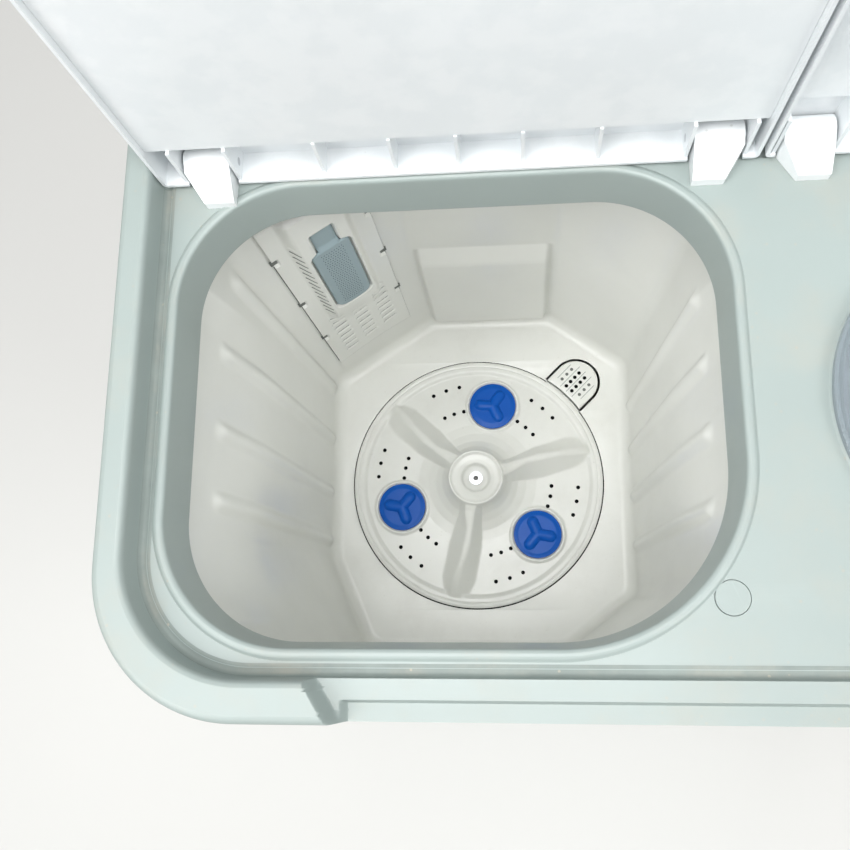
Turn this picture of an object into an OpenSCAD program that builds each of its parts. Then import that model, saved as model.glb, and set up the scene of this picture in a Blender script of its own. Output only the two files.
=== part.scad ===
// Twin-tub top load washing machine: wash tub on the left, spin basket on the right.
// Modules draw from the front left corner of the machine at floor level, x to the right,
// y to the back, z up; place() then centres the whole machine on the origin.

/* [Body] */
// Overall width of the machine
body_w = 760; // [730:1:920]
// Depth of the machine without the rear spigots
body_d = 480; // [460:1:580]
// Height of the deck above the floor
deck_z = 870; // [820:1:1050]
// Wall thickness of the cabinet
cabinet_wall = 3; // [2:0.5:4]
// Height of the four rubber feet
foot_h = 16; // [12:1:24]
// Radius of a rubber foot
foot_r = 22; // [16:1:26]

/* [Top cover] */
// Height of the raised rim above the deck
rim_h = 25; // [18:1:30]
// Width of the rim along each side
rim_side = 21; // [16:1:26]
// Width of the rim along the front
rim_front = 27; // [24:1:34]
// Radius of the two front corners in plan
corner_r = 100; // [70:1:110]
// Thickness of the moulded deck and rim
cover_wall = 3; // [2:0.5:4]
// How far the cover's skirt hangs below the deck
skirt_h = 40; // [30:1:60]
// Distance from each side to the end of the finger recess
recess_end = 163; // [140:1:200]
// Depth of the lower strip of the finger recess, front to back
recess_strip = 13; // [8:1:16]
// Height of the ledge in the finger recess above the deck
ledge_h = 5; // [3:1:8]

/* [Wash opening] */
// Left edge of the wash opening
wash_x0 = 38; // [36:1:44]
// Width of the wash opening
wash_w = 394; // [370:1:400]
// Front edge of the wash opening
wash_y0 = 46; // [42:1:60]
// Corner radius of the wash opening at its back corners and front left
wash_r = 90; // [60:1:100]
// Corner radius of the wash opening at its front right
wash_r_right = 125; // [60:1:140]
// Depth of both collars below the deck
collar_h = 40; // [30:1:50]
// Thickness of the collar walls
collar_wall = 3; // [2:0.5:4]

/* [Wash tub] */
// Depth of the tub floor below the deck
tub_depth = 468; // [400:1:500]
// Left wall of the tub at its floor
tub_x0 = 55; // [52:1:60]
// Width of the tub at its floor
tub_w = 362; // [350:1:370]
// Front wall of the tub at its floor
tub_y0 = 28; // [26:1:34]
// Wall thickness of both tubs
tub_wall = 3; // [2:0.5:4]
// Outward lean of the tub walls, per unit of height
tub_draft = 0.03; // [0.01:0.005:0.04]

/* [Pulsator] */
// Radius of the pulsator
pulsator_r = 152; // [130:1:155]
// Centre of the pulsator from the left side
pulsator_x = 232; // [225:1:240]
// Centre of the pulsator from the front
pulsator_y = 229; // [222:1:236]
// Height of the pulsator hub above its rim
hub_h = 36; // [24:1:44]
// Radius of the small blue pulsators
mini_r = 28.5; // [22:0.5:30]
// Radius of the circle that the small pulsators stand on
mini_pitch = 97; // [90:1:100]
// Radius of the pulsator shaft
shaft_r = 8; // [6:0.5:10]

/* [Spin side] */
// Centre of the spin basket from the right side
spin_from_right = 155; // [150:1:165]
// Centre of the spin basket from the front
spin_y = 205; // [190:1:230]
// Radius of the spin basket
basket_r = 118; // [100:1:120]
// Radius of the round spin opening
spin_open_r = 108; // [95:1:112]

/* [Lids] */
// Depth of a lid from its top to its free edge
lid_h = 26; // [20:1:28]
// Wall thickness of the lids
lid_wall = 2.5; // [2:0.5:3]
// Radius of the hinge pins
pin_r = 3; // [2.5:0.5:4]
// Width of a hinge post
post_w = 34; // [26:1:36]

/* [Console] */
// Depth of the console, front to back
console_d = 68; // [64:1:80]
// Height of the console above the deck
console_h = 65; // [60:1:80]
// Radius of the console knobs
knob_r = 21; // [16:1:22]

/* [Services] */
// Radius of the water inlet spigots
inlet_r = 10; // [8:0.5:12]
// How far the rear spigots stand out
spigot_out = 24; // [20:1:30]
// Radius of the drain spigot
drain_r = 14; // [10:0.5:16]

/* [Fits] */
// Radial clearance of a running fit
run_fit = 0.05; // [0.02:0.01:0.1]
// Gap between pieces that move past each other
move_gap = 1.5; // [1:0.25:3]
// Gap between covers that fit into each other
cover_gap = 0.5; // [0.3:0.1:1]

/* [Hidden] */
$fn = 96;
hull_fn = 32;
eps = 0.01;
cut = 1;

// plan positions of the main pieces
spin_x = body_w - spin_from_right;
console_y = body_d - console_d;
hinge_y = console_y - 19;
hinge_z = deck_z + 15;
lid_z0 = deck_z + 3;
lid_z1 = lid_z0 + lid_h;
lid_y0 = rim_front + 2;
lid_y1 = hinge_y + 11;
wash_x1 = wash_x0 + wash_w;
wash_y1 = hinge_y - 15;
split_x = wash_x1 + 25;
lid_gap = 4;
inset = cover_wall + cover_gap;

// heights
base_z = foot_h;
base_h = 14;
cabinet_z0 = base_z + 4;
cabinet_z1 = deck_z - 8;
floor_z = deck_z - tub_depth;
tub_z1 = deck_z - 2 * cover_wall - cover_gap;
lip_z = deck_z - collar_h - 4;
recess_h = 18;
gear_top = floor_z - recess_h - tub_wall;
gear_h = 82;
pulley_h = 20;
pulley_gap = 8;
pulley_z = gear_top - gear_h - pulley_gap - pulley_h;

// drive
gear_pulley_r = 68;
motor_pulley_r = 24;
belt_t = 5;
belt_depth = 7;
motor_x = pulsator_x - 30;
motor_y = pulsator_y - 132;
motor_r = 60;
motor_h = 72;
motor_shaft_r = 6;

// spin drive
spin_floor = floor_z - 4;
basket_z0 = spin_floor + 26;
basket_z1 = deck_z - collar_h - 12;
spin_tub_r = basket_r + 12;
spin_motor_r = 66;
spin_motor_h = 110;
spin_motor_z = base_z + 74;
drum_r = 46;
drum_z = spin_motor_z + spin_motor_h + 16;
drum_h = 26;
spin_shaft_r = 7;

// console face
face_front = 26;
face_back = console_d - 10;
face_tilt = atan((console_h - face_front) / face_back);
knob_y = console_y + face_back / 2;
knob_z = deck_z + (console_h + face_front) / 2;
knob_h = 17;
stem_r = 4;
wash_knob_x = 120;
select_knob_x = 300;
spin_knob_x = body_w - 155;

// drain
sump_angle = 45;
sump_dist = pulsator_r + 30;
sump_r = 26;
sump_x = pulsator_x + sump_dist * cos(sump_angle);
sump_y = pulsator_y + sump_dist * sin(sump_angle);
sump_h = 34;
valve_r = 24;
valve_z = floor_z - tub_wall - sump_h;
valve_h = 60;
plunger_r = 14;
drain_z = base_z + 60;
drain_x = 90;

// lint filter on the back left wall of the tub
chamfer_bl = [122, 78];
chamfer_br = [92, 66];
chamfer_fr = [85, 64];
chamfer_fl = [47, 108];
filter_angle = atan(chamfer_bl[1] / chamfer_bl[0]);
filter_w = 102;
filter_z0 = floor_z + 58;
filter_h = 332;
filter_t = 4;
hood_w = 70;
hood_t = 10;
cart_w = 42;
cart_z = 149;
cart_h = 117;
cart_t = 4;

total_d = body_d + spigot_out;

// centres the machine on the origin in plan
module place() {
    translate([-body_w / 2, -total_d / 2, 0]) children();
}

// rectangle with its own radius at each corner: front left, front right, back right, back left
module plan(x0, y0, x1, y1, r) {
    xs = [x0, x1, x1, x0];
    ys = [y0, y0, y1, y1];
    sx = [1, -1, -1, 1];
    sy = [1, 1, -1, -1];
    difference() {
        translate([x0, y0]) square([x1 - x0, y1 - y0]);
        for (i = [0:3]) {
            if (r[i] > 0) {
                translate([xs[i], ys[i]]) difference() {
                    translate([min(0, sx[i] * r[i]) - (sx[i] > 0 ? cut : 0),
                        min(0, sy[i] * r[i]) - (sy[i] > 0 ? cut : 0)])
                        square([r[i] + cut, r[i] + cut]);
                    translate([sx[i] * r[i], sy[i] * r[i]]) circle(r[i]);
                }
            }
        }
    }
}

// solid of the machine's plan, shrunk by an inset, between two heights
module body_block(gap, z0, z1, y1) {
    r = corner_r - gap;
    translate([0, 0, z0]) linear_extrude(z1 - z0)
        plan(gap, gap, body_w - gap, y1, [r, r, 0, 0]);
}

module box(x0, y0, z0, x1, y1, z1) {
    translate([x0, y0, z0]) cube([x1 - x0, y1 - y0, z1 - z0]);
}

module ring(r1, r2, h) {
    difference() {
        cylinder(r = r1, h = h);
        translate([0, 0, -cut]) cylinder(r = r2, h = h + 2 * cut);
    }
}

// profile drawn in y and z, run along x
module along_x(x0, x1) {
    translate([x0, 0, 0]) rotate([90, 0, 90]) linear_extrude(x1 - x0) children();
}

// ------------------------------------------------------------------ cabinet

rear_open_x = 60;
rear_open_z0 = base_z + 100;
rear_open_z1 = deck_z - 90;
grip_w = 110;
grip_h = 32;
grip_z = deck_z - 260;

module cabinet() {
    color("whitesmoke") place() difference() {
        body_block(inset, cabinet_z0, cabinet_z1, body_d - cabinet_wall);
        body_block(inset + cabinet_wall, cabinet_z0 - cut, cabinet_z1 + cut,
            body_d - 2 * cabinet_wall);
        box(rear_open_x, body_d - 4 * cabinet_wall, rear_open_z0,
            body_w - rear_open_x, body_d + cut, rear_open_z1);
        box(-cut, body_d / 2 - grip_w / 2, grip_z, body_w + cut, body_d / 2 + grip_w / 2,
            grip_z + grip_h);
        translate([drain_x, body_d + cut, drain_z]) rotate([90, 0, 0])
            cylinder(r = drain_r + cover_gap, h = 5 * cabinet_wall);
    }
}

module base_pan() {
    color("dimgray") place() difference() {
        union() {
            body_block(inset + cabinet_wall + cover_gap, base_z, base_z + base_h,
                body_d - 2 * cabinet_wall - cover_gap);
            body_block(inset + 1, base_z, cabinet_z0, body_d - cabinet_wall - 1);
        }
        body_block(inset + cabinet_wall + 6, base_z + 3, base_z + base_h + cut,
            body_d - 2 * cabinet_wall - 6);
        for (p = foot_places()) {
            translate([p[0], p[1], base_z - cut]) cylinder(r = stem_r, h = base_h);
        }
    }
}

function foot_places() = [for (x = [70, body_w - 70], y = [70, body_d - 50]) [x, y]];

module feet() {
    color("black") place() for (p = foot_places()) {
        translate([p[0], p[1], 0]) {
            cylinder(r = foot_r - 2, h = 2);
            translate([0, 0, 2]) cylinder(r = foot_r, h = foot_h - 2);
            cylinder(r = stem_r, h = foot_h + 3);
        }
    }
}

cover_margin = 16;
cover_t = 1.2;

function cover_screw_places() = [for (x = [rear_open_x - 8, body_w / 2, body_w - rear_open_x + 8],
    z = [rear_open_z0 - 8, rear_open_z1 + 8]) [x, z]];

module rear_cover() {
    color("lightgray") place() difference() {
        union() {
            box(rear_open_x - cover_margin, body_d - cabinet_wall, rear_open_z0 - cover_margin,
                body_w - rear_open_x + cover_margin, body_d - cabinet_wall + cover_t,
                rear_open_z1 + cover_margin);
            for (i = [0:3]) {
                box(rear_open_x + 40, body_d - cabinet_wall, rear_open_z0 + 80 + 120 * i,
                    body_w - rear_open_x - 40, body_d - cabinet_wall + 3,
                    rear_open_z0 + 100 + 120 * i);
            }
        }
        for (p = cover_screw_places()) {
            translate([p[0], body_d + cut, p[1]]) rotate([90, 0, 0]) cylinder(r = 2, h = 8);
        }
        for (i = [0:9]) {
            box(body_w - 220 + 12 * i, body_d - 2 * cabinet_wall, rear_open_z0 + 20,
                body_w - 215 + 12 * i, body_d + cut, rear_open_z0 + 66);
        }
    }
}

module rear_cover_screws() {
    color("silver") place() for (p = cover_screw_places()) {
        translate([p[0], body_d - cabinet_wall + cover_t, p[1]]) rotate([-90, 0, 0])
            difference() {
                cylinder(r = 4.5, h = 2);
                translate([0, 0, 1]) for (a = [0, 90]) {
                    rotate(a) translate([-2.5, -0.5, 0]) cube([5, 1, 2]);
                }
            }
        translate([p[0], body_d - cabinet_wall + cover_t, p[1]]) rotate([90, 0, 0])
            cylinder(r = 2, h = cover_t);
    }
}

// ---------------------------------------------------------------- top cover

trough_y0 = hinge_y - 10;
trough_y1 = console_y;
trough_h = 3;
bead_h = 2;
bead_w = 5;
strip_drop = 3.5;

module wash_hole(gap, z0, z1) {
    r = wash_r - gap;
    translate([0, 0, z0]) linear_extrude(z1 - z0)
        plan(wash_x0 + gap, wash_y0 + gap, wash_x1 - gap, wash_y1 - gap,
            [r, wash_r_right - gap, r, r]);
}

// the finger recess, cut out of the front rim with a slanted end at each side
module finger_recess() {
    slant = 6;
    ends = [recess_end, body_w - recess_end];
    translate([0, 0, deck_z + ledge_h]) linear_extrude(rim_h)
        polygon([[ends[0] - slant, -cut], [ends[1] + slant, -cut],
            [ends[1] - 1, rim_front + cut], [ends[0] + 1, rim_front + cut]]);
    box(ends[0] + 4, -cut, deck_z - strip_drop, ends[1] - 4, recess_strip, deck_z + rim_h);
}

module top_cover() {
    in_r = corner_r - 15;
    color("lightblue") place() difference() {
        union() {
            // rim and skirt
            difference() {
                body_block(0, deck_z - skirt_h, deck_z + rim_h, console_y);
                translate([0, 0, deck_z]) linear_extrude(rim_h + cut)
                    plan(rim_side, rim_front, body_w - rim_side, console_y + cut,
                        [in_r, in_r, 0, 0]);
                body_block(cover_wall, deck_z - skirt_h - cut, deck_z - 2 * cover_wall,
                    console_y + cut);
                box(-cut, console_y - cut, deck_z + console_h, body_w + cut, body_d, deck_z + 99);
            }
            // collar and bead around the wash opening
            wash_hole(-bead_w + collar_wall, deck_z - eps, deck_z + bead_h);
            wash_hole(-collar_wall, deck_z - collar_h, deck_z);
            // collar and bead around the spin opening
            translate([spin_x, spin_y, deck_z - collar_h])
                cylinder(r = spin_open_r + collar_wall, h = collar_h);
            translate([spin_x, spin_y, deck_z - eps])
                cylinder(r = spin_open_r + bead_w, h = bead_h + eps);
        }
        wash_hole(0, deck_z - collar_h - cut, deck_z + bead_h + cut);
        translate([spin_x, spin_y, deck_z - collar_h - cut])
            cylinder(r = spin_open_r, h = collar_h + bead_h + 2 * cut);
        finger_recess();
        // trough that the lids turn over
        box(rim_side + 1, trough_y0, deck_z - trough_h, body_w - rim_side - 1, trough_y1 + cut,
            deck_z + rim_h + cut);
        // shallow groove along the inside of the rim
        translate([0, 0, deck_z - 1]) linear_extrude(2) difference() {
            plan(rim_side, rim_front, body_w - rim_side, trough_y0, [in_r, in_r, 0, 0]);
            plan(rim_side + 7, rim_front + 6, body_w - rim_side - 7, trough_y0 + cut,
                [in_r - 6, in_r - 6, 0, 0]);
        }
        cap_hole();
    }
}

cap_x = wash_x1 - 15;
cap_y = 78;
cap_r = 11;

module cap_hole() {
    translate([cap_x, cap_y, deck_z - 2]) cylinder(r = cap_r + 0.4, h = 4);
}

module deck_cap() {
    color("lightblue") place() translate([cap_x, cap_y, deck_z - 2]) cylinder(r = cap_r, h = 2.4);
}

// -------------------------------------------------------------- hinge posts

post_nose = 10.5;
post_front = hinge_y - 29;
post_chamfer = [12, 20];

// side = 1 chamfers the post's left front corner, side = -1 its right one
module hinge_post(x0, side) {
    xc = side > 0 ? x0 : x0 + post_w;
    difference() {
        union() {
            along_x(x0, x0 + post_w) polygon([[post_front, deck_z], [trough_y0, deck_z],
                [trough_y0, deck_z - trough_h], [hinge_y + post_nose, deck_z - trough_h],
                [hinge_y + post_nose, hinge_z], [hinge_y, hinge_z + post_nose],
                [hinge_y - 12, hinge_z + 6], [post_front, deck_z + 8]]);
            translate([x0, hinge_y, hinge_z]) rotate([0, 90, 0])
                cylinder(r = post_nose, h = post_w);
        }
        translate([x0 - cut, hinge_y, hinge_z]) rotate([0, 90, 0])
            cylinder(r = pin_r + run_fit, h = post_w + 2 * cut);
        translate([xc, post_front, deck_z - cut]) linear_extrude(rim_h + 4)
            polygon([[-side * cut, -cut], [side * post_chamfer[0], -cut],
                [-side * cut, post_chamfer[1]]]);
    }
}

post_in = 45;
wash_posts = [post_in, wash_x1 - 24];
spin_posts = [split_x + 11, body_w - post_in - post_w];

module wash_hinge_posts() {
    color("white") place() {
        hinge_post(wash_posts[0], 1);
        hinge_post(wash_posts[1], -1);
    }
}

module spin_hinge_posts() {
    color("white") place() {
        hinge_post(spin_posts[0], 1);
        hinge_post(spin_posts[1], -1);
    }
}

// --------------------------------------------------------------------- lids

liner_y1 = hinge_y - 30;
notch_gap = move_gap + 0.5;
rib_t = 2.5;

// turns a closed lid to its open place about the hinge
module opened() {
    translate([0, hinge_y, hinge_z]) rotate([-90, 0, 0]) translate([0, -hinge_y, -hinge_z])
        children();
}

module lid_block(x0, x1, gap, r, z0, z1, y1) {
    rr = [for (v = r) max(v - gap, 0)];
    translate([0, 0, z0]) linear_extrude(z1 - z0)
        plan(x0 + gap, lid_y0 + gap, x1 - gap, y1 - gap, rr);
}

module lid_shell(x0, x1, r, posts) {
    difference() {
        union() {
            difference() {
                lid_block(x0, x1, 0, r, lid_z0, lid_z1, lid_y1);
                lid_block(x0, x1, lid_wall, r, lid_z0 - cut, lid_z1 - lid_wall, lid_y1);
            }
            // ribs that hold the pins, and plain ribs across the rear channel
            for (p = posts, s = [-notch_gap - rib_t, post_w + notch_gap]) {
                box(p + s, liner_y1, lid_z0 + 2, p + s + rib_t, lid_y1 - eps, lid_z1 - eps);
            }
            for (f = [0.2, 0.36, 0.5, 0.64, 0.8]) {
                xr = posts[0] + post_w + (posts[1] - posts[0] - post_w) * f;
                box(xr, liner_y1, lid_z0 + 4, xr + rib_t, lid_y1 - eps, lid_z1 - eps);
            }
        }
        for (p = posts) {
            box(p - notch_gap, liner_y1 - cut, lid_z0 - cut, p + post_w + notch_gap, lid_y1 + cut,
                lid_z1 - lid_wall);
            translate([p - notch_gap - 2 * rib_t, hinge_y, hinge_z]) rotate([0, 90, 0])
                cylinder(r = pin_r, h = post_w + 2 * notch_gap + 4 * rib_t);
        }
    }
}

// tray-shaped liner inside a lid; low is the height of its face in the closed lid
module lid_liner(x0, x1, r, low) {
    gap = lid_wall + 0.2;
    difference() {
        lid_block(x0, x1, gap, r, low, lid_z1 - lid_wall, liner_y1 + gap - 0.5);
        lid_block(x0, x1, gap + 2, r, low + 2, lid_z1, liner_y1 + gap - 0.5);
    }
}

module lid_pins(posts) {
    for (p = posts) {
        translate([p - notch_gap - rib_t, hinge_y, hinge_z]) rotate([0, 90, 0])
            cylinder(r = pin_r, h = post_w + 2 * notch_gap + 2 * rib_t);
    }
}

lid_corner = corner_r - 16;
wash_lid_x = [rim_side + 2, split_x - lid_gap / 2];
spin_lid_x = [split_x + lid_gap / 2, body_w - rim_side - 2];
wash_lid_r = [lid_corner, 6, 4, 4];
spin_lid_r = [6, lid_corner, 4, 4];
wash_liner_z = lid_z0 + 5;
spin_liner_z = lid_z1 - 8;

module wash_lid() {
    color("white") place() opened()
        lid_shell(wash_lid_x[0], wash_lid_x[1], wash_lid_r, wash_posts);
}

module wash_lid_liner() {
    color("white") place() opened()
        lid_liner(wash_lid_x[0], wash_lid_x[1], wash_lid_r, wash_liner_z);
}

module wash_lid_pins() {
    color("silver") place() opened() lid_pins(wash_posts);
}

module spin_lid() {
    color("white") place() opened()
        lid_shell(spin_lid_x[0], spin_lid_x[1], spin_lid_r, spin_posts);
}

module spin_lid_liner() {
    color("white") place() opened()
        lid_liner(spin_lid_x[0], spin_lid_x[1], spin_lid_r, spin_liner_z);
}

module spin_lid_pins() {
    color("silver") place() opened() lid_pins(spin_posts);
}

// ------------------------------------------------------------------ console

console_wall = 3;
knob_xs = [wash_knob_x, select_knob_x, spin_knob_x];
inlet_xs = [body_w / 2 - 40, body_w / 2 + 40];
inlet_z = deck_z + 34;
screw_r = 2;

// places a piece on the sloping face, its axis along the face's normal
module on_face(x) {
    translate([x, knob_y, knob_z]) rotate([face_tilt, 0, 0]) children();
}

function console_side(g) = [
    [console_y + g, deck_z - skirt_h], [console_y + g, deck_z + face_front - g / 2],
    [console_y + face_back, deck_z + console_h - g], [body_d - g, deck_z + console_h - g],
    [body_d - g, deck_z - skirt_h]];

module console() {
    color("gainsboro") place() difference() {
        along_x(0, body_w) polygon(console_side(0));
        along_x(console_wall, body_w - console_wall) polygon(console_side(console_wall));
        box(console_wall, console_y - cut, deck_z - skirt_h - cut, body_w - console_wall,
            body_d - console_wall, deck_z - trough_h);
        for (x = knob_xs) {
            on_face(x) translate([0, 0, -20]) cylinder(r = stem_r + 1, h = 40);
        }
        for (x = inlet_xs) {
            translate([x, body_d + cut, inlet_z]) rotate([90, 0, 0])
                cylinder(r = inlet_r + cover_gap, h = 4 * console_wall);
        }
        translate([gland_x, body_d + cut, gland_z]) rotate([90, 0, 0])
            cylinder(r = gland_r + cover_gap, h = 4 * console_wall);
        for (x = console_screw_xs()) {
            translate([x, body_d + cut, deck_z - 20]) rotate([90, 0, 0])
                cylinder(r = screw_r, h = 4 * console_wall);
        }
    }
}

function console_screw_xs() = [40, body_w / 2, body_w - 40];

module console_screws() {
    color("silver") place() for (x = console_screw_xs()) {
        translate([x, body_d, deck_z - 20]) rotate([-90, 0, 0]) difference() {
            cylinder(r = 4.5, h = 2);
            translate([0, 0, 1]) for (a = [0, 90]) {
                rotate(a) translate([-2.5, -0.5, 0]) cube([5, 1, 2]);
            }
        }
        translate([x, body_d, deck_z - 20]) rotate([90, 0, 0])
            cylinder(r = screw_r, h = console_wall);
    }
}

// clockwork or switch box hung under the sloping face
module timer_box(x, w) {
    on_face(x) translate([0, 0, -console_wall - 28]) difference() {
        translate([-w / 2, -18, 0]) cube([w, 36, 26]);
        translate([0, 0, 6]) cylinder(r = stem_r + run_fit, h = 26);
    }
}

module wash_timer() { color("ivory") place() timer_box(wash_knob_x, 50); }

module spin_timer() { color("ivory") place() timer_box(spin_knob_x, 50); }

module selector_box() { color("ivory") place() timer_box(select_knob_x, 40); }

// round knob with a grip bar and a stem that enters the timer
module knob(x) {
    on_face(x) {
        difference() {
            union() {
                translate([0, 0, 1]) cylinder(r = knob_r, h = 5);
                translate([0, 0, 6]) cylinder(r = knob_r - 3, h = 2);
                intersection() {
                    translate([-knob_r, -4, 1]) cube([2 * knob_r, 8, knob_h - 1]);
                    translate([0, 0, 1]) cylinder(r = knob_r - 1, h = knob_h - 1);
                }
            }
            translate([0, knob_r - 7, knob_h / 2 - 1]) cylinder(r = 1.2, h = knob_h);
        }
        translate([0, 0, -console_wall - 18]) cylinder(r = stem_r, h = console_wall + 20);
    }
}

module wash_timer_knob() { color("white") place() knob(wash_knob_x); }

module drain_selector_knob() { color("white") place() knob(select_knob_x); }

module spin_timer_knob() { color("white") place() knob(spin_knob_x); }

module water_inlets() {
    color("white") place() for (x = inlet_xs) {
        translate([x, body_d - console_wall - 3, inlet_z]) rotate([-90, 0, 0]) difference() {
            union() {
                cylinder(r = inlet_r, h = console_wall + 3 + spigot_out);
                cylinder(r = inlet_r + 4, h = 3);
                translate([0, 0, console_wall + 3]) cylinder(r = inlet_r + 3, h = 2);
            }
            translate([0, 0, -cut]) cylinder(r = inlet_r - 2.5, h = spigot_out + 40);
        }
    }
}

gland_x = body_w - 60;
gland_z = deck_z + 20;
gland_r = 8;

module cable_gland() {
    color("black") place() translate([gland_x, body_d - console_wall - 3, gland_z])
        rotate([-90, 0, 0]) difference() {
            union() {
                cylinder(r = gland_r, h = console_wall + 12);
                cylinder(r = gland_r + 2, h = 3);
                translate([0, 0, console_wall + 3]) cylinder(r = gland_r + 2, h = 3);
            }
            translate([0, 0, -cut]) cylinder(r = 4, h = 30);
        }
}

// ----------------------------------------------------------------- wash tub

tub_x1 = tub_x0 + tub_w;
tub_y1 = body_d - 40;
tub_edge_r = 18;

// how far a chamfer's two ends slide along the walls when all walls move out by g
function slide(c, g) = let (lean = atan(c[1] / c[0])) [g * tan(lean / 2), g * tan(45 - lean / 2)];

// inner corners of the tub in plan, with the walls moved out by g
function tub_points(g) = let (
        fl = chamfer_fl - slide(chamfer_fl, g),
        fr = chamfer_fr - slide(chamfer_fr, g),
        br = chamfer_br - slide(chamfer_br, g),
        bl = chamfer_bl - slide(chamfer_bl, g))
    [[tub_x0 + fl[0], tub_y0 - g], [tub_x1 - fr[0], tub_y0 - g],
    [tub_x1 + g, tub_y0 + fr[1]], [tub_x1 + g, tub_y1 - br[1]],
    [tub_x1 - br[0], tub_y1 + g], [tub_x0 + bl[0], tub_y1 + g],
    [tub_x0 - g, tub_y1 - bl[1]], [tub_x0 - g, tub_y0 + fl[1]]];

function draft_at(z) = tub_draft * (z - floor_z);

module tub_slab(z, g) {
    pts = tub_points(g - tub_edge_r);
    for (p = pts) {
        translate([p[0], p[1], z]) cylinder(r = tub_edge_r, h = eps, $fn = hull_fn);
    }
}

module tub_solid(g, z0, z1) {
    hull() {
        tub_slab(z0, g + draft_at(z0));
        tub_slab(z1, g + draft_at(z1));
    }
}

lip_x = draft_at(lip_z) + 8;
lip_y = draft_at(lip_z) + 2;
lip_r = 80;
rib_r = 9;
left_ribs = [158, 216, 283, 348];
right_ribs = [148, 206, 262, 316];

module tub_ribs() {
    lean = atan(tub_draft);
    h = lip_z - floor_z - 40;
    for (y = left_ribs) {
        translate([tub_x0 - 4, y, floor_z - 1]) rotate([0, -lean, 0]) cylinder(r = rib_r, h = h);
    }
    for (y = right_ribs) {
        translate([tub_x1 + 4, y, floor_z - 1]) rotate([0, lean, 0]) cylinder(r = rib_r, h = h);
    }
}

panel_x = [180, 320];
panel_top = floor_z + 198;
panel_t = 10;

module wash_tub() {
    color("white") place() difference() {
        union() {
            difference() {
                union() {
                    tub_solid(tub_wall, floor_z - tub_wall, lip_z);
                    translate([0, 0, lip_z - 3]) linear_extrude(tub_z1 - lip_z + 3)
                        plan(tub_x0 - lip_x - 3, tub_y0 - lip_y - 3, tub_x1 + lip_x + 3,
                            tub_y1 + lip_y + 3, [lip_r, lip_r, lip_r, lip_r]);
                }
                tub_solid(0, floor_z, lip_z + 2 * cut);
                translate([0, 0, lip_z]) linear_extrude(tub_z1)
                    plan(tub_x0 - lip_x, tub_y0 - lip_y, tub_x1 + lip_x, tub_y1 + lip_y,
                        [lip_r - 3, lip_r - 3, lip_r - 3, lip_r - 3]);
            }
            intersection() {
                tub_solid(tub_wall, floor_z - tub_wall, lip_z);
                union() {
                    tub_ribs();
                    translate([panel_x[0], tub_y1, floor_z]) rotate([-atan(tub_draft), 0, 0])
                        translate([0, -panel_t, 0])
                        cube([panel_x[1] - panel_x[0], panel_t + 2, panel_top - floor_z]);
                }
            }
            // well under the pulsator and sump under the strainer
            translate([pulsator_x, pulsator_y, floor_z - recess_h - tub_wall])
                cylinder(r = pulsator_r + move_gap + tub_wall, h = recess_h + tub_wall);
            translate([sump_x, sump_y, floor_z - tub_wall - sump_h])
                cylinder(r = sump_r + tub_wall, h = sump_h + tub_wall);
        }
        translate([pulsator_x, pulsator_y, floor_z - recess_h])
            cylinder(r = pulsator_r + move_gap, h = recess_h + cut);
        translate([sump_x, sump_y, floor_z - sump_h]) cylinder(r = sump_r, h = sump_h + cut);
        translate([sump_x, sump_y, floor_z - sump_h - 2 * tub_wall])
            cylinder(r = plunger_r - 3, h = 3 * tub_wall);
        translate([pulsator_x, pulsator_y, gear_top - cut]) cylinder(r = seal_r, h = 3 * tub_wall);
        strainer_shape(0.4, floor_z - strainer_t, cut + strainer_t);
    }
}

seal_r = 18;
strainer_t = 2.5;
strainer_end = pulsator_r + 50;

// tongue-shaped outline of the strainer, outside the pulsator
module strainer_shape(gap, z, h) {
    w = 27;
    translate([pulsator_x, pulsator_y, z]) rotate(sump_angle) difference() {
        union() {
            translate([0, -w - gap, 0]) cube([strainer_end - w, 2 * (w + gap), h]);
            translate([strainer_end - w, 0, 0]) cylinder(r = w + gap, h = h);
        }
        translate([0, 0, -cut]) cylinder(r = pulsator_r + 2 * move_gap - gap, h = h + 2 * cut);
    }
}

module drain_strainer() {
    color("whitesmoke") place() difference() {
        strainer_shape(0, floor_z - strainer_t, strainer_t + 1.5);
        translate([pulsator_x, pulsator_y, floor_z - strainer_t - cut]) rotate(sump_angle)
            for (i = [0:3], s = [-1, 1]) {
                translate([pulsator_r + 12 + 8 * i, 6 * s, 0]) cylinder(r = 1.8, h = 9);
            }
    }
}

// -------------------------------------------------------------- lint filter

filter_origin = [tub_x0, tub_y1 - chamfer_bl[1]];

// local frame on the back left wall: x along the wall, y into the wall, z up the wall
module on_filter_wall(z) {
    g = draft_at(z);
    translate([filter_origin[0] - g * sin(filter_angle),
        filter_origin[1] + g * cos(filter_angle), z])
        rotate(filter_angle) rotate([-atan(tub_draft), 0, 0]) children();
}

filter_u = 17;
hood_u = filter_u + 18;
cart_u = hood_u + 14;
wall_gap = 0.4;

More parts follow.
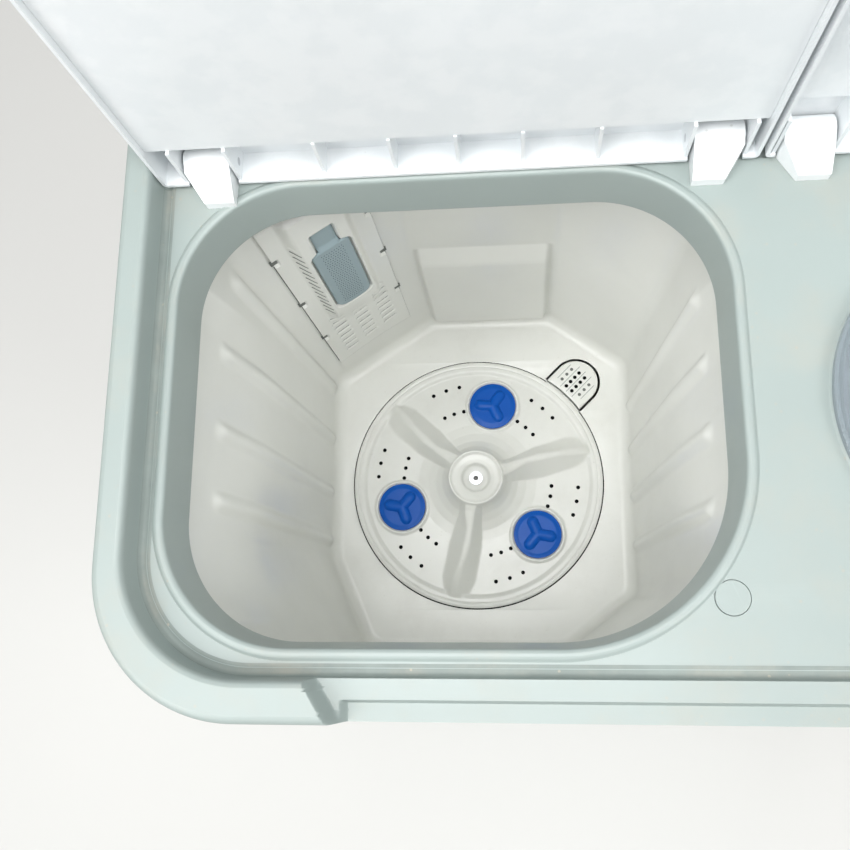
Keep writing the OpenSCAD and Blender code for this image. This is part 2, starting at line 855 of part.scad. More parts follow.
module lint_filter_frame() {
    hood_y = -wall_gap - filter_t - hood_t;
    color("white") place() on_filter_wall(filter_z0) difference() {
        union() {
            translate([filter_u, -wall_gap - filter_t, 0]) cube([filter_w, filter_t, filter_h]);
            translate([hood_u, hood_y, 8]) cube([hood_w, hood_t + 1, filter_h - 20]);
        }
        // hollow duct behind the hood
        translate([hood_u + 3, hood_y + 3, 11]) cube([hood_w - 6, hood_t + filter_t, filter_h - 26]);
        // seat for the filter insert
        translate([cart_u - 1, hood_y - cut, cart_z - 1])
            cube([cart_w + 2, hood_t, cart_h + 2]);
        translate([cart_u + 9, hood_y - cut, cart_z]) cube([24, hood_t, cart_h + 36]);
        // rows of water slots under the insert
        for (i = [0:7], u = [6, 29, 52]) {
            translate([hood_u + u, hood_y - cut, 22 + 11 * i]) cube([12, 5, 3]);
        }
        // slots along the left cheek of the hood
        for (i = [0:13]) {
            translate([hood_u - cut, hood_y + 4, 40 + 18 * i]) cube([5, hood_t - 7, 5]);
        }
        // clip notches in both edges of the plate
        for (i = [0:2], u = [filter_u - cut, filter_u + filter_w - 4]) {
            translate([u, -wall_gap - filter_t - cut, 60 + 95 * i])
                cube([4 + cut, filter_t + 2 * cut, 12]);
        }
    }
}

module lint_filter_insert() {
    hood_y = -wall_gap - filter_t - hood_t;
    color("slategray") place() on_filter_wall(filter_z0) {
        difference() {
            union() {
                translate([cart_u, hood_y - 2, cart_z]) cube([cart_w, cart_t, cart_h]);
                translate([cart_u + 10, hood_y - 1, cart_z + cart_h - 1]) cube([22, 4, 34]);
            }
            for (i = [0:3], k = [0:9]) {
                translate([cart_u + 8 + 8.5 * i, hood_y - 4, cart_z + 12 + 10.5 * k])
                    rotate([-90, 0, 0]) cylinder(r = 1.5, h = 12);
            }
        }
    }
}

// ------------------------------------------------------- pulsator and drive

rim_top = floor_z + 3;
disc_t = 4;
disc_z = rim_top - 7;
mini_angles = [78, 198, 318];
mini_seat = mini_r + 1.5;
mini_post_r = 4;
mini_z = disc_z + disc_t + 1;

function pulsator_profile() = [
    [shaft_r + run_fit, disc_z - 6], [34, disc_z - 6], [34, disc_z],
    [pulsator_r - 8, disc_z], [pulsator_r - 6, disc_z - 6], [pulsator_r, disc_z - 6],
    [pulsator_r, rim_top - 1], [pulsator_r - 2, rim_top], [pulsator_r - 12, rim_top],
    [pulsator_r - 15, disc_z + disc_t], [72, disc_z + disc_t], [50, disc_z + disc_t + 5],
    [37, rim_top + hub_h * 0.45], [32, rim_top + hub_h - 3], [29, rim_top + hub_h],
    [25, rim_top + hub_h], [22, rim_top + hub_h - 5], [12, rim_top + hub_h - 8],
    [shaft_r + run_fit, rim_top + hub_h - 8]];

module on_pulsator() {
    translate([pulsator_x, pulsator_y, 0]) children();
}

// one long leaf-shaped blade that falls from the hub to the rim
module blade(a) {
    rotate(a) hull() {
        translate([30, 0, disc_z + 1]) cylinder(r = 6, h = hub_h + 1, $fn = hull_fn);
        translate([100, 0, disc_z + 1]) cylinder(r1 = 17, r2 = 5, h = 22, $fn = hull_fn);
        translate([138, 0, disc_z + 1]) cylinder(r1 = 7, r2 = 3, h = 9, $fn = hull_fn);
    }
}

module pulsator() {
    color("white") place() on_pulsator() difference() {
        union() {
            rotate_extrude() polygon(pulsator_profile());
            for (a = [18, 138, 258]) {
                difference() {
                    blade(a);
                    cylinder(r = 28, h = 2 * deck_z);
                }
            }
            for (a = mini_angles) {
                rotate(a) translate([mini_pitch, 0, disc_z]) cylinder(r = mini_seat + 4, h = 7);
            }
        }
        for (a = mini_angles) {
            rotate(a) translate([mini_pitch, 0, disc_z + disc_t - 1]) {
                cylinder(r = mini_seat, h = 60);
            }
            rotate(a) translate([mini_pitch, 0, disc_z - cut])
                cylinder(r = mini_post_r + run_fit, h = 20);
        }
        // three rows of drain holes on each side of every small pulsator
        for (a = mini_angles, side = [-1, 1], i = [0:2]) {
            rotate(a + side * (22 + 8 * i)) translate([122.5, 0, disc_z - cut])
                cylinder(r = 1.9, h = 12);
            rotate(a + side * (22 + 8 * i)) translate([90.5, 0, disc_z - cut])
                cylinder(r = 1.9, h = 12);
        }
    }
}

module mini_pulsator(i) {
    a = mini_angles[i];
    color("royalblue") place() on_pulsator() rotate(a) translate([mini_pitch, 0, mini_z])
        rotate(25 + 40 * i) {
            cylinder(r = mini_r, h = 2.5);
            cylinder(r = mini_r - 2, h = 4);
            translate([0, 0, -clip_drop]) cylinder(r = mini_post_r, h = clip_drop + 1);
            for (k = [0:2]) {
                rotate(120 * k) translate([0, -3.5, 3]) cube([mini_r - 6, 7, 5]);
                rotate(120 * k) translate([mini_r - 6, 0, 3]) cylinder(r = 3.5, h = 5);
            }
            cylinder(r = 7, h = 8);
        }
}

clip_drop = disc_t + 5;

module mini_pulsator_1() { mini_pulsator(0); }

module mini_pulsator_2() { mini_pulsator(1); }

module mini_pulsator_3() { mini_pulsator(2); }

module mini_pulsator_clips() {
    color("silver") place() on_pulsator() for (a = mini_angles) {
        rotate(a) translate([mini_pitch, 0, disc_z - 1.6]) ring(mini_post_r + 3, mini_post_r + 0.4, 1);
    }
}

module pulsator_screw() {
    head_z = rim_top + hub_h - 8;
    color("silver") place() on_pulsator() difference() {
        union() {
            translate([0, 0, head_z]) cylinder(r = 10, h = 1.2);
            translate([0, 0, head_z + 1.2]) cylinder(r = 7.5, h = 3.5);
            translate([0, 0, head_z - 16]) cylinder(r = 3, h = 17);
        }
        translate([0, 0, head_z + 2.5]) for (a = [0, 90]) {
            rotate(a) translate([-4, -0.8, 0]) cube([8, 1.6, 4]);
        }
    }
}

module pulsator_shaft() {
    top = rim_top + hub_h - 8.2;
    color("silver") place() on_pulsator() difference() {
        translate([0, 0, gear_top - 20]) cylinder(r = shaft_r, h = top - gear_top + 20);
        translate([0, 0, top - 16]) cylinder(r = 3, h = 17);
    }
}

module shaft_seal() {
    color("black") place() on_pulsator() translate([0, 0, gear_top])
        ring(seal_r, shaft_r + run_fit, tub_wall + 5);
}

gear_r = 58;
gear_flange_r = 82;
gear_bolt_r = 72;

module gearbox() {
    color("gray") place() on_pulsator() difference() {
        union() {
            translate([0, 0, gear_top - 6]) cylinder(r = gear_flange_r, h = 6);
            translate([0, 0, gear_top - gear_h + 14]) cylinder(r = gear_r, h = gear_h - 16);
            translate([0, 0, gear_top - gear_h]) cylinder(r = 26, h = 20);
        }
        translate([0, 0, gear_top - 22]) cylinder(r = shaft_r + run_fit, h = 30);
        translate([0, 0, gear_top - gear_h - cut]) cylinder(r = motor_shaft_r + run_fit, h = 30);
        for (a = [0:90:270]) {
            rotate(a + 45) translate([gear_bolt_r, 0, gear_top - 8]) cylinder(r = 3.2, h = 9);
        }
    }
}

module gearbox_bolts() {
    color("silver") place() on_pulsator() for (a = [0:90:270]) {
        rotate(a + 45) translate([gear_bolt_r, 0, gear_top - 11]) {
            cylinder(r = 6, h = 5, $fn = 6);
            cylinder(r = 3.2, h = 11);
        }
    }
}

// belt pulley with a groove as deep as the belt, its lower face at z
module pulley(r, hub, h, web) {
    groove = belt_depth - 2;
    rotate_extrude() polygon([[motor_shaft_r, 0], [hub, 0], [hub, h / 2 - web], [r - 12, h / 2 - web],
        [r - 12, 1], [r, 1], [r, h / 2 - 5], [r - groove, h / 2 - 3], [r - groove, h / 2 + 3],
        [r, h / 2 + 5], [r, h - 1], [r - 12, h - 1], [r - 12, h / 2 + web], [hub, h / 2 + web],
        [hub, h], [motor_shaft_r, h]]);
}

module gearbox_pulley() {
    color("silver") place() on_pulsator() translate([0, 0, pulley_z]) {
        difference() {
            pulley(gear_pulley_r, 16, pulley_h, 2);
            for (a = [0:60:300]) {
                rotate(a) translate([36, 0, -cut]) cylinder(r = 11, h = pulley_h + 2);
            }
        }
        cylinder(r = motor_shaft_r, h = pulley_h + pulley_gap + 24);
    }
}

module motor_pulley() {
    color("silver") place() translate([motor_x, motor_y, pulley_z]) {
        rotate_extrude() polygon([[0, 0], [motor_pulley_r, 1], [motor_pulley_r, pulley_h / 2 - 5],
            [motor_pulley_r - belt_depth + 2, pulley_h / 2 - 3],
            [motor_pulley_r - belt_depth + 2, pulley_h / 2 + 3],
            [motor_pulley_r, pulley_h / 2 + 5], [motor_pulley_r, pulley_h - 1], [0, pulley_h]]);
        cylinder(r = motor_shaft_r, h = pulley_h + pulley_gap + 30);
    }
}

// outline of the belt around the two pulleys: an arc on each, joined by straight runs
function belt_points(r1, r2) = let (
        dx = motor_x - pulsator_x,
        dy = motor_y - pulsator_y,
        c = norm([dx, dy]),
        turn = atan2(dy, dx),
        half = acos((r1 - r2) / c),
        steps = 40)
    concat(
        [for (i = [0:steps]) let (a = turn + half + (360 - 2 * half) * i / steps)
            [pulsator_x + r1 * cos(a), pulsator_y + r1 * sin(a)]],
        [for (i = [0:steps]) let (a = turn - half + 2 * half * i / steps)
            [motor_x + r2 * cos(a), motor_y + r2 * sin(a)]]);

module drive_belt() {
    seat = belt_depth - 2.4;
    r1 = gear_pulley_r - seat;
    r2 = motor_pulley_r - seat;
    color("black") place() translate([0, 0, pulley_z + pulley_h / 2 - belt_t / 2])
        linear_extrude(belt_t) difference() {
            polygon(belt_points(r1 + belt_depth, r2 + belt_depth));
            polygon(belt_points(r1, r2));
        }
}

motor_z = pulley_z + pulley_h + pulley_gap;

module wash_motor() {
    color("dimgray") place() translate([motor_x, motor_y, motor_z]) difference() {
        union() {
            cylinder(r = motor_r - 8, h = motor_h);
            translate([0, 0, 22]) cylinder(r = motor_r, h = motor_h - 44);
            for (a = [0, 180]) {
                rotate(a) translate([0, -9, 30]) cube([motor_r + 14, 18, 6]);
            }
        }
        translate([0, 0, -cut]) cylinder(r = motor_shaft_r + run_fit, h = 32);
        for (a = [0, 180]) {
            rotate(a) translate([motor_r + 7, 0, 28]) cylinder(r = 3, h = 12);
        }
    }
}

// two straps that hang the motor from the underside of the tub
module motor_bracket() {
    z = motor_z + 36;
    color("silver") place() for (s = [-1, 1]) {
        x = motor_x + s * (motor_r + 7);
        top = s < 0 ? floor_z - tub_wall : gear_top;
        difference() {
            union() {
                box(x - 6, motor_y - 12, z, x + 6, motor_y + 12, z + 3);
                box(x + s * 6 - 1.5, motor_y - 12, z, x + s * 6 + 1.5, motor_y + 12, top);
            }
            translate([x, motor_y, z - cut]) cylinder(r = 3, h = 6);
        }
    }
}

cap_box_r = 22;

module motor_capacitors() {
    color("lightgray") place() for (i = [0:1]) {
        translate([350 + 56 * i, body_d - 60, base_z + base_h + 4]) {
            cylinder(r = cap_box_r, h = 78);
            cylinder(r = cap_box_r - 4, h = 84);
        }
        box(346 + 56 * i, body_d - 64, base_z + 3, 354 + 56 * i, body_d - 56,
            base_z + base_h + 5);
    }
}

// ---------------------------------------------------------------- spin side

module at_spin(z) {
    translate([spin_x, spin_y, z]) children();
}

bellows_r = 38;

module spin_tub() {
    color("white") place() at_spin(spin_floor - tub_wall) difference() {
        union() {
            cylinder(r = spin_tub_r + tub_wall, h = tub_z1 - spin_floor + tub_wall);
            translate([0, spin_tub_r - 26, -22]) cylinder(r = 14, h = 24);
        }
        translate([0, 0, tub_wall]) cylinder(r = spin_tub_r, h = tub_z1);
        translate([0, 0, -cut]) cylinder(r = bellows_r, h = 2 * tub_wall);
        translate([0, spin_tub_r - 26, -24]) cylinder(r = 11, h = 40);
    }
}

basket_t = 2;
basket_rows = 6;
basket_holes = 10;

module spin_basket() {
    h = basket_z1 - basket_z0;
    color("silver") place() at_spin(basket_z0) {
        difference() {
            cylinder(r = basket_r, h = h);
            translate([0, 0, basket_t]) cylinder(r = basket_r - basket_t, h = h);
            translate([0, 0, -cut]) cylinder(r = spin_shaft_r, h = 3 * basket_t);
            for (row = [0:basket_rows - 1], i = [0:basket_holes - 1]) {
                rotate((i + 0.25 + 0.5 * (row % 2)) * 360 / basket_holes)
                    translate([basket_r - 3 * basket_t, 0, 50 + 50 * row]) rotate([0, 90, 0])
                    cylinder(r = 2.5, h = 6 * basket_t);
            }
        }
        // balance ring under the rim
        translate([0, 0, h - 16]) ring(basket_r - basket_t + eps, basket_r - 14, 16);
        // hub that seats on the shaft
        translate([0, 0, -8]) ring(30, spin_shaft_r, 8 + eps);
        translate([0, 0, basket_t - eps]) rotate_extrude() polygon([[spin_shaft_r, 0], [60, 0],
            [40, 12], [30, 32], [26, 36], [spin_shaft_r, 36]]);
    }
}

module spin_shaft() {
    foot = spin_motor_z + 31;
    nut_z = basket_z0 + 38 - foot;
    color("silver") place() at_spin(foot) {
        cylinder(r = spin_shaft_r, h = nut_z);
        translate([0, 0, nut_z]) cylinder(r = 12, h = 8, $fn = 6);
    }
}

module bellows_seal() {
    z0 = spin_floor - tub_wall - 34;
    color("black") place() at_spin(z0) rotate_extrude() polygon([
        [spin_shaft_r + run_fit, 0], [20, 0], [24, 8], [18, 12], [28, 20], [22, 24], [33, 32],
        [bellows_r + 6, 32], [bellows_r + 6, 34], [bellows_r, 34], [bellows_r, 40],
        [33, 40], [30, 34], [18, 24], [24, 20], [14, 12], [20, 8], [16, 4],
        [spin_shaft_r + run_fit, 4]]);
}

module brake_drum() {
    color("silver") place() at_spin(drum_z) {
        ring(drum_r, drum_r - 5, drum_h);
        ring(drum_r - 4, spin_shaft_r, 4);
        ring(20, spin_shaft_r, drum_h);
    }
}

brake_x = spin_x + drum_r + 16;
brake_y = spin_y + 34;
brake_gap = 1.2;

// pivoted brake arm with a lining that faces the drum
module brake_arm() {
    color("dimgray") place() translate([0, 0, drum_z + 4]) difference() {
        union() {
            translate([brake_x, brake_y, 0]) cylinder(r = 9, h = 12);
            translate([brake_x - 4, spin_y - 20, 2]) cube([8, 54, 8]);
            intersection() {
                translate([spin_x, spin_y, 0]) ring(drum_r + 15, drum_r + brake_gap, 12);
                translate([spin_x, spin_y - 20, 0]) cube([90, 40, 12]);
            }
            translate([brake_x - 4, brake_y, 2]) cube([8, 34, 8]);
        }
        translate([brake_x, brake_y, -cut]) cylinder(r = 4 + run_fit, h = 20);
        translate([brake_x, brake_y + 28, -cut]) cylinder(r = 2, h = 20);
    }
}

spring_dist = spin_motor_r + 16;

module spin_motor() {
    arm_dx = brake_x - spin_x;
    arm_dy = brake_y - spin_y;
    post_top = drum_z + drum_h - spin_motor_z - 4;
    color("dimgray") place() at_spin(spin_motor_z) difference() {
        union() {
            cylinder(r = spin_motor_r - 8, h = spin_motor_h);
            translate([0, 0, 22]) cylinder(r = spin_motor_r, h = spin_motor_h - 44);
            for (a = [90, 210, 330]) {
                rotate(a) translate([40, -15, 14]) cube([spring_dist - 26, 30, 5]);
            }
            // post that the brake arm pivots on
            translate([30, arm_dy - 8, spin_motor_h - 32]) cube([arm_dx - 22, 16, 6]);
            translate([arm_dx, arm_dy, spin_motor_h - 30])
                cylinder(r = 4, h = post_top - spin_motor_h + 30);
        }
        translate([0, 0, 30]) cylinder(r = spin_shaft_r + run_fit, h = spin_motor_h);
        for (a = [90, 210, 330]) {
            rotate(a) translate([spring_dist, 0, 12]) cylinder(r = 4, h = 9);
        }
    }
}

// rubber-cored coil springs, drawn as stacked rings around a core
module damper_springs() {
    z0 = base_z + 3;
    h = spin_motor_z + 14 - z0;
    coils = 7;
    color("black") place() at_spin(z0) for (a = [90, 210, 330]) {
        rotate(a) translate([spring_dist, 0, 0]) {
            cylinder(r = 10, h = h);
            for (k = [0:coils - 1]) {
                translate([0, 0, 5 + (h - 10) * k / (coils - 1)])
                    rotate_extrude() translate([11.5, 0]) circle(2.4, $fn = 24);
            }
        }
    }
}

module damper_bolts() {
    color("silver") place() at_spin(spin_motor_z + 19) for (a = [90, 210, 330]) {
        rotate(a) translate([spring_dist, 0, 0]) {
            cylinder(r = 7, h = 5, $fn = 6);
            translate([0, 0, -5]) cylinder(r = 4, h = 5);
        }
    }
}

inner_lid_z = deck_z + bead_h + 0.4;
inner_lid_r = spin_open_r + 8;
inner_hinge_y = spin_y + inner_lid_r + 7;
inner_hinge_z = deck_z + 8;
knuckle_r = 5;

module spin_inner_lid() {
    color("lightcyan") place() {
        at_spin(inner_lid_z) {
            cylinder(r = inner_lid_r, h = 2.5);
            ring(inner_lid_r, inner_lid_r - 3, 5);
            translate([-35, -5, 2]) cube([70, 10, 12]);
        }
        difference() {
            union() {
                box(spin_x - 26, spin_y + inner_lid_r - 12, inner_lid_z, spin_x + 26,
                    inner_hinge_y, inner_lid_z + 5);
                translate([spin_x - 26, inner_hinge_y, inner_hinge_z]) rotate([0, 90, 0])
                    cylinder(r = knuckle_r, h = 52);
            }
            translate([spin_x - 30, inner_hinge_y, inner_hinge_z]) rotate([0, 90, 0])
                cylinder(r = 2 + run_fit, h = 60);
        }
    }
}

// the pin with a small bearing block at each end
module inner_lid_pins() {
    color("lightblue") place() {
        translate([spin_x - 36, inner_hinge_y, inner_hinge_z]) rotate([0, 90, 0])
            cylinder(r = 2, h = 72);
        for (x = [spin_x - 36, spin_x + 28]) {
            box(x, inner_hinge_y - 5, deck_z, x + 8, inner_hinge_y + 5, inner_hinge_z + 4);
        }
    }
}

// -------------------------------------------------------------------- drain

outlet_h = 16;
seat_z = 28;
plunger_z = seat_z + 3.3;

// valve body with a seat ring above its side outlet
module drain_valve() {
    color("ivory") place() translate([sump_x, sump_y, valve_z - valve_h]) {
        difference() {
            union() {
                cylinder(r = valve_r, h = valve_h);
                translate([0, 0, outlet_h]) rotate([0, -90, 0])
                    cylinder(r = drain_r, h = valve_r + 26);
            }
            translate([0, 0, 3]) cylinder(r = valve_r - 3, h = valve_h);
            translate([0, 0, outlet_h]) rotate([0, -90, 0]) cylinder(r = drain_r - 3, h = valve_r + 30);
            translate([0, 0, -cut]) cylinder(r = rod_r + run_fit, h = 9);
        }
        translate([0, 0, seat_z]) ring(valve_r - 3 + eps, plunger_r - 4, 3);
    }
}

rod_r = 4;

// rubber plunger on a pull rod, lifted to drain
module drain_plunger() {
    color("black") place() translate([sump_x, sump_y, valve_z - valve_h]) {
        translate([0, 0, -24]) cylinder(r = rod_r, h = plunger_z + 26);
        translate([0, 0, plunger_z]) cylinder(r = plunger_r, h = 9);
        translate([0, 0, -26]) cylinder(r = 8, h = 4);
    }
}

module drain_pipe() {
    z = valve_z - valve_h + outlet_h;
    x_out = sump_x - valve_r - 26;
    color("gray") place() difference() {
        union() {
            translate([x_out, sump_y, z]) rotate([0, -90, 0]) cylinder(r = 18, h = x_out - drain_x);
            translate([drain_x, sump_y, z]) sphere(r = 18);
            translate([drain_x, sump_y, drain_z]) cylinder(r = 18, h = z - drain_z);
            translate([drain_x, sump_y, drain_z]) sphere(r = 18);
            translate([drain_x, sump_y, drain_z]) rotate([-90, 0, 0])
                cylinder(r = drain_r, h = body_d + spigot_out - sump_y);
            for (y = [body_d - 3 * cabinet_wall, body_d]) {
                translate([drain_x, y, drain_z]) rotate([-90, 0, 0])
                    cylinder(r = drain_r + 4, h = 2);
            }
        }
        translate([x_out + cut, sump_y, z]) rotate([0, -90, 0])
            cylinder(r = 15, h = x_out - drain_x + cut);
        translate([drain_x, sump_y, z]) sphere(r = 15);
        translate([drain_x, sump_y, drain_z]) cylinder(r = 15, h = z - drain_z);
        translate([drain_x, sump_y, drain_z]) sphere(r = 15);
        translate([drain_x, sump_y, drain_z]) rotate([-90, 0, 0])
            cylinder(r = drain_r - 3, h = body_d);
    }
}

// ------------------------------------------------------------------- output

cabinet();
base_pan();
feet();
rear_cover();
rear_cover_screws();
top_cover();
deck_cap();
wash_hinge_posts();
spin_hinge_posts();
console();
console_screws();
wash_tub();
drain_strainer();
lint_filter_frame();
lint_filter_insert();
shaft_seal();
gearbox();
gearbox_bolts();
motor_bracket();
wash_motor();
motor_pulley();
gearbox_pulley();
drive_belt();
pulsator_shaft();
pulsator();
pulsator_screw();
mini_pulsator_1();
mini_pulsator_2();
mini_pulsator_3();
mini_pulsator_clips();
spin_tub();
spin_basket();
spin_shaft();
bellows_seal();
brake_drum();
brake_arm();
spin_motor();
damper_springs();
damper_bolts();
spin_inner_lid();
inner_lid_pins();
wash_lid();
wash_lid_liner();
wash_lid_pins();
spin_lid();
spin_lid_liner();
spin_lid_pins();
wash_timer();
spin_timer();
selector_box();
wash_timer_knob();
drain_selector_knob();
spin_timer_knob();
drain_valve();
drain_plunger();
drain_pipe();
water_inlets();
cable_gland();
motor_capacitors();
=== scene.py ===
import math

import bmesh
import bpy
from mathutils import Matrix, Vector, geometry


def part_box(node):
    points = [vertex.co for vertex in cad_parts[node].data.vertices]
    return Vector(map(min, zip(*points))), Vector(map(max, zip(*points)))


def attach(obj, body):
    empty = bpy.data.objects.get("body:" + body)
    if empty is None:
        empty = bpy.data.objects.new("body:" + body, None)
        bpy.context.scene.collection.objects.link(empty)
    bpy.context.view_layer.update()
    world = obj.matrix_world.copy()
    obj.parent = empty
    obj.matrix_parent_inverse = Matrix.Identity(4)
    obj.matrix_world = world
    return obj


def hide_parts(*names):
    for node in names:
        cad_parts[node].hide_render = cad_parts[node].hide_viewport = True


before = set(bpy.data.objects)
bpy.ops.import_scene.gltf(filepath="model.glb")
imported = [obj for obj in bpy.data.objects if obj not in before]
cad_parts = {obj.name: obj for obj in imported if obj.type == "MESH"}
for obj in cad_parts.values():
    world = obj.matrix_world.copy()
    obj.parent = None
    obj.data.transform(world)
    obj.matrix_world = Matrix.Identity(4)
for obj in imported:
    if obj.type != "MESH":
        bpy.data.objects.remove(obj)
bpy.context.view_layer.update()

# ------------------------------------------------------------------ places
# Pieces are laid out in millimetres from the machine's front left corner,
# x to the right, y to the back, z up from the floor.

COVER_LOW, COVER_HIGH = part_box("top_cover")
BODY_W = (COVER_HIGH.x - COVER_LOW.x) * 1000
RIM_TOP = COVER_HIGH.z * 1000
RIM_H = 25
DECK = RIM_TOP - RIM_H
CONSOLE_Y = (COVER_HIGH.y - COVER_LOW.y) * 1000
PULSATOR_LOW, PULSATOR_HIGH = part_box("pulsator")
PULSATOR_R = (PULSATOR_HIGH.x - PULSATOR_LOW.x) * 500
PULSATOR_X = (PULSATOR_LOW.x + PULSATOR_HIGH.x) * 500 - COVER_LOW.x * 1000
PULSATOR_Y = (PULSATOR_LOW.y + PULSATOR_HIGH.y) * 500 - COVER_LOW.y * 1000
HUB_TOP = PULSATOR_HIGH.z * 1000
RIM_OF_PULSATOR = HUB_TOP - 36
TUB_FLOOR = RIM_OF_PULSATOR - 3


def at(x, y, z):
    """Millimetres on the machine to metres in the frame."""
    return Vector((COVER_LOW.x + x / 1000, COVER_LOW.y + y / 1000, z / 1000))


def smooth(low, high, value):
    t = min(1.0, max(0.0, (value - low) / (high - low)))
    return t * t * (3 - 2 * t)


def along(table, value):
    """Reads a height from a table of (place, height) rows."""
    if value <= table[0][0]:
        return table[0][1]
    for (a, za), (b, zb) in zip(table, table[1:]):
        if value <= b:
            return za + (zb - za) * (value - a) / (b - a)
    return table[-1][1]


# --------------------------------------------------------------- mesh tools


def mesh_piece(name, points, faces, smooth_shade=True):
    mesh = bpy.data.meshes.new(name)
    mesh.from_pydata([at(*p) for p in points], [], faces)
    mesh.update()
    piece = bpy.data.objects.new(name, mesh)
    bpy.context.scene.collection.objects.link(piece)
    if smooth_shade:
        for face in mesh.polygons:
            face.use_smooth = True
    return piece


def skin(name, rings, closed=True, cap_first=False, cap_last=False):
    """Skins a row of rings that have the same number of points."""
    n = len(rings[0])
    points = [p for ring in rings for p in ring]
    faces = []
    span = n if closed else n - 1
    for k in range(len(rings) - 1):
        for i in range(span):
            j = (i + 1) % n
            faces.append((k * n + i, k * n + j, (k + 1) * n + j, (k + 1) * n + i))
    if cap_first:
        faces.append(tuple(reversed(range(n))))
    if cap_last:
        faces.append(tuple(range((len(rings) - 1) * n, len(rings) * n)))
    return mesh_piece(name, points, faces)


def plate(name, outlines, z):
    """A flat plate with holes, from an outline and the outlines of its holes."""
    loops = [[Vector((p[0], p[1], 0)) for p in loop] for loop in outlines]
    flat = [(p[0], p[1], z) for loop in outlines for p in loop]
    faces = geometry.tessellate_polygon(loops)
    piece = mesh_piece(name, flat, [tuple(f) for f in faces])
    down = [f for f in piece.data.polygons if f.normal.z < 0]
    if len(down) * 2 > len(piece.data.polygons):
        piece.data.flip_normals()
    return piece


def lifted(line, z):
    """A flat outline put at a height."""
    return [(x, y, z) for x, y in line]


def circle(cx, cy, r, n, start=0.0):
    return [(cx + r * math.cos(start + 2 * math.pi * i / n),
             cy + r * math.sin(start + 2 * math.pi * i / n)) for i in range(n)]


def rounded(corners, radii, step):
    """Outline of a polygon with rounded corners, counter-clockwise, evenly sampled."""
    n = len(corners)
    parts = []
    for i in range(n):
        p = Vector(corners[i])
        a = (Vector(corners[i - 1]) - p).normalized()
        b = (Vector(corners[(i + 1) % n]) - p).normalized()
        half = math.acos(max(-1, min(1, a.dot(b)))) / 2
        r = max(radii[i], 0.05)
        back = r / math.tan(half)
        centre = p + (a + b).normalized() * (r / math.sin(half))
        start = p + a * back - centre
        end = p + b * back - centre
        a0 = math.atan2(start.y, start.x)
        turn = (math.atan2(end.y, end.x) - a0) % (2 * math.pi)
        if turn > math.pi:
            turn -= 2 * math.pi
        parts.append((centre, r, a0, turn))
    line = []
    for i in range(n):
        centre, r, a0, turn = parts[i]
        count = max(6, int(abs(turn) * r / step))
        line += [(centre.x + r * math.cos(a0 + turn * k / count),
                  centre.y + r * math.sin(a0 + turn * k / count)) for k in range(count + 1)]
        c2, r2, a2, _ = parts[(i + 1) % n]
        end = Vector(line[-1])
        nxt = Vector((c2.x + r2 * math.cos(a2), c2.y + r2 * math.sin(a2)))
        count = max(1, int((nxt - end).length / step))
        line += [tuple(end.lerp(nxt, k / count)) for k in range(1, count)]
    return line


def opening(grow, count=None):
    """Outline of the wash opening, moved outward by grow."""
    x0, y0, x1, y1 = 38 - grow, 46 - grow, 432 + grow, 378 + grow
    return rounded([(x0, y0), (x1, y0), (x1, y1), (x0, y1)],
                   [90 + grow, 125 + grow, 90 + grow, 90 + grow], 4)


def resample(line, count):
    """The same closed outline with count evenly spaced points."""
    pts = [Vector(p) for p in line] + [Vector(line[0])]
    total = sum((b - a).length for a, b in zip(pts, pts[1:]))
    out, k, done = [], 0, 0.0
    for i in range(count):
        want = total * i / count
        while k < len(pts) - 2 and done + (pts[k + 1] - pts[k]).length < want:
            done += (pts[k + 1] - pts[k]).length
            k += 1
        leg = (pts[k + 1] - pts[k]).length
        out.append(tuple(pts[k].lerp(pts[k + 1], (want - done) / leg if leg else 0)))
    return out


def join(name, pieces):
    """Joins pieces into one object and welds their shared edges."""
    bm = bmesh.new()
    for piece in pieces:
        bm.from_mesh(piece.data)
    bmesh.ops.remove_doubles(bm, verts=bm.verts, dist=1e-5)
    mesh = bpy.data.meshes.new(name)
    bm.to_mesh(mesh)
    bm.free()
    for face in mesh.polygons:
        face.use_smooth = True
    for piece in pieces:
        bpy.data.objects.remove(piece)
    whole = bpy.data.objects.new(name, mesh)
    bpy.context.scene.collection.objects.link(whole)
    return whole


def keep_sharp(piece, degrees=35):
    """Shades a piece smoothly but keeps its true edges."""
    limit = math.radians(degrees)
    bm = bmesh.new()
    bm.from_mesh(piece.data)
    for edge in bm.edges:
        edge.smooth = not (len(edge.link_faces) == 2 and edge.calc_face_angle(0) > limit)
    bm.to_mesh(piece.data)
    bm.free()
    return piece


def even_normals(piece, sharp):
    piece.modifiers.new("Even normals", "WEIGHTED_NORMAL").keep_sharp = sharp


# ---------------------------------------------------------------- finishes


def tint(r, g, b):
    """Colour from 0 to 255 values to linear light."""
    out = []
    for v in (r, g, b):
        c = v / 255
        out.append(c / 12.92 if c <= 0.04045 else ((c + 0.055) / 1.055) ** 2.4)
    return (*out, 1.0)


def new_group(name, inputs, outputs):
    group = bpy.data.node_groups.new(name, "ShaderNodeTree")
    for label, kind, value in inputs:
        socket = group.interface.new_socket(label, in_out="INPUT", socket_type=kind)
        socket.default_value = value
    for label, kind in outputs:
        group.interface.new_socket(label, in_out="OUTPUT", socket_type=kind)
    return group, group.nodes.new("NodeGroupInput"), group.nodes.new("NodeGroupOutput")


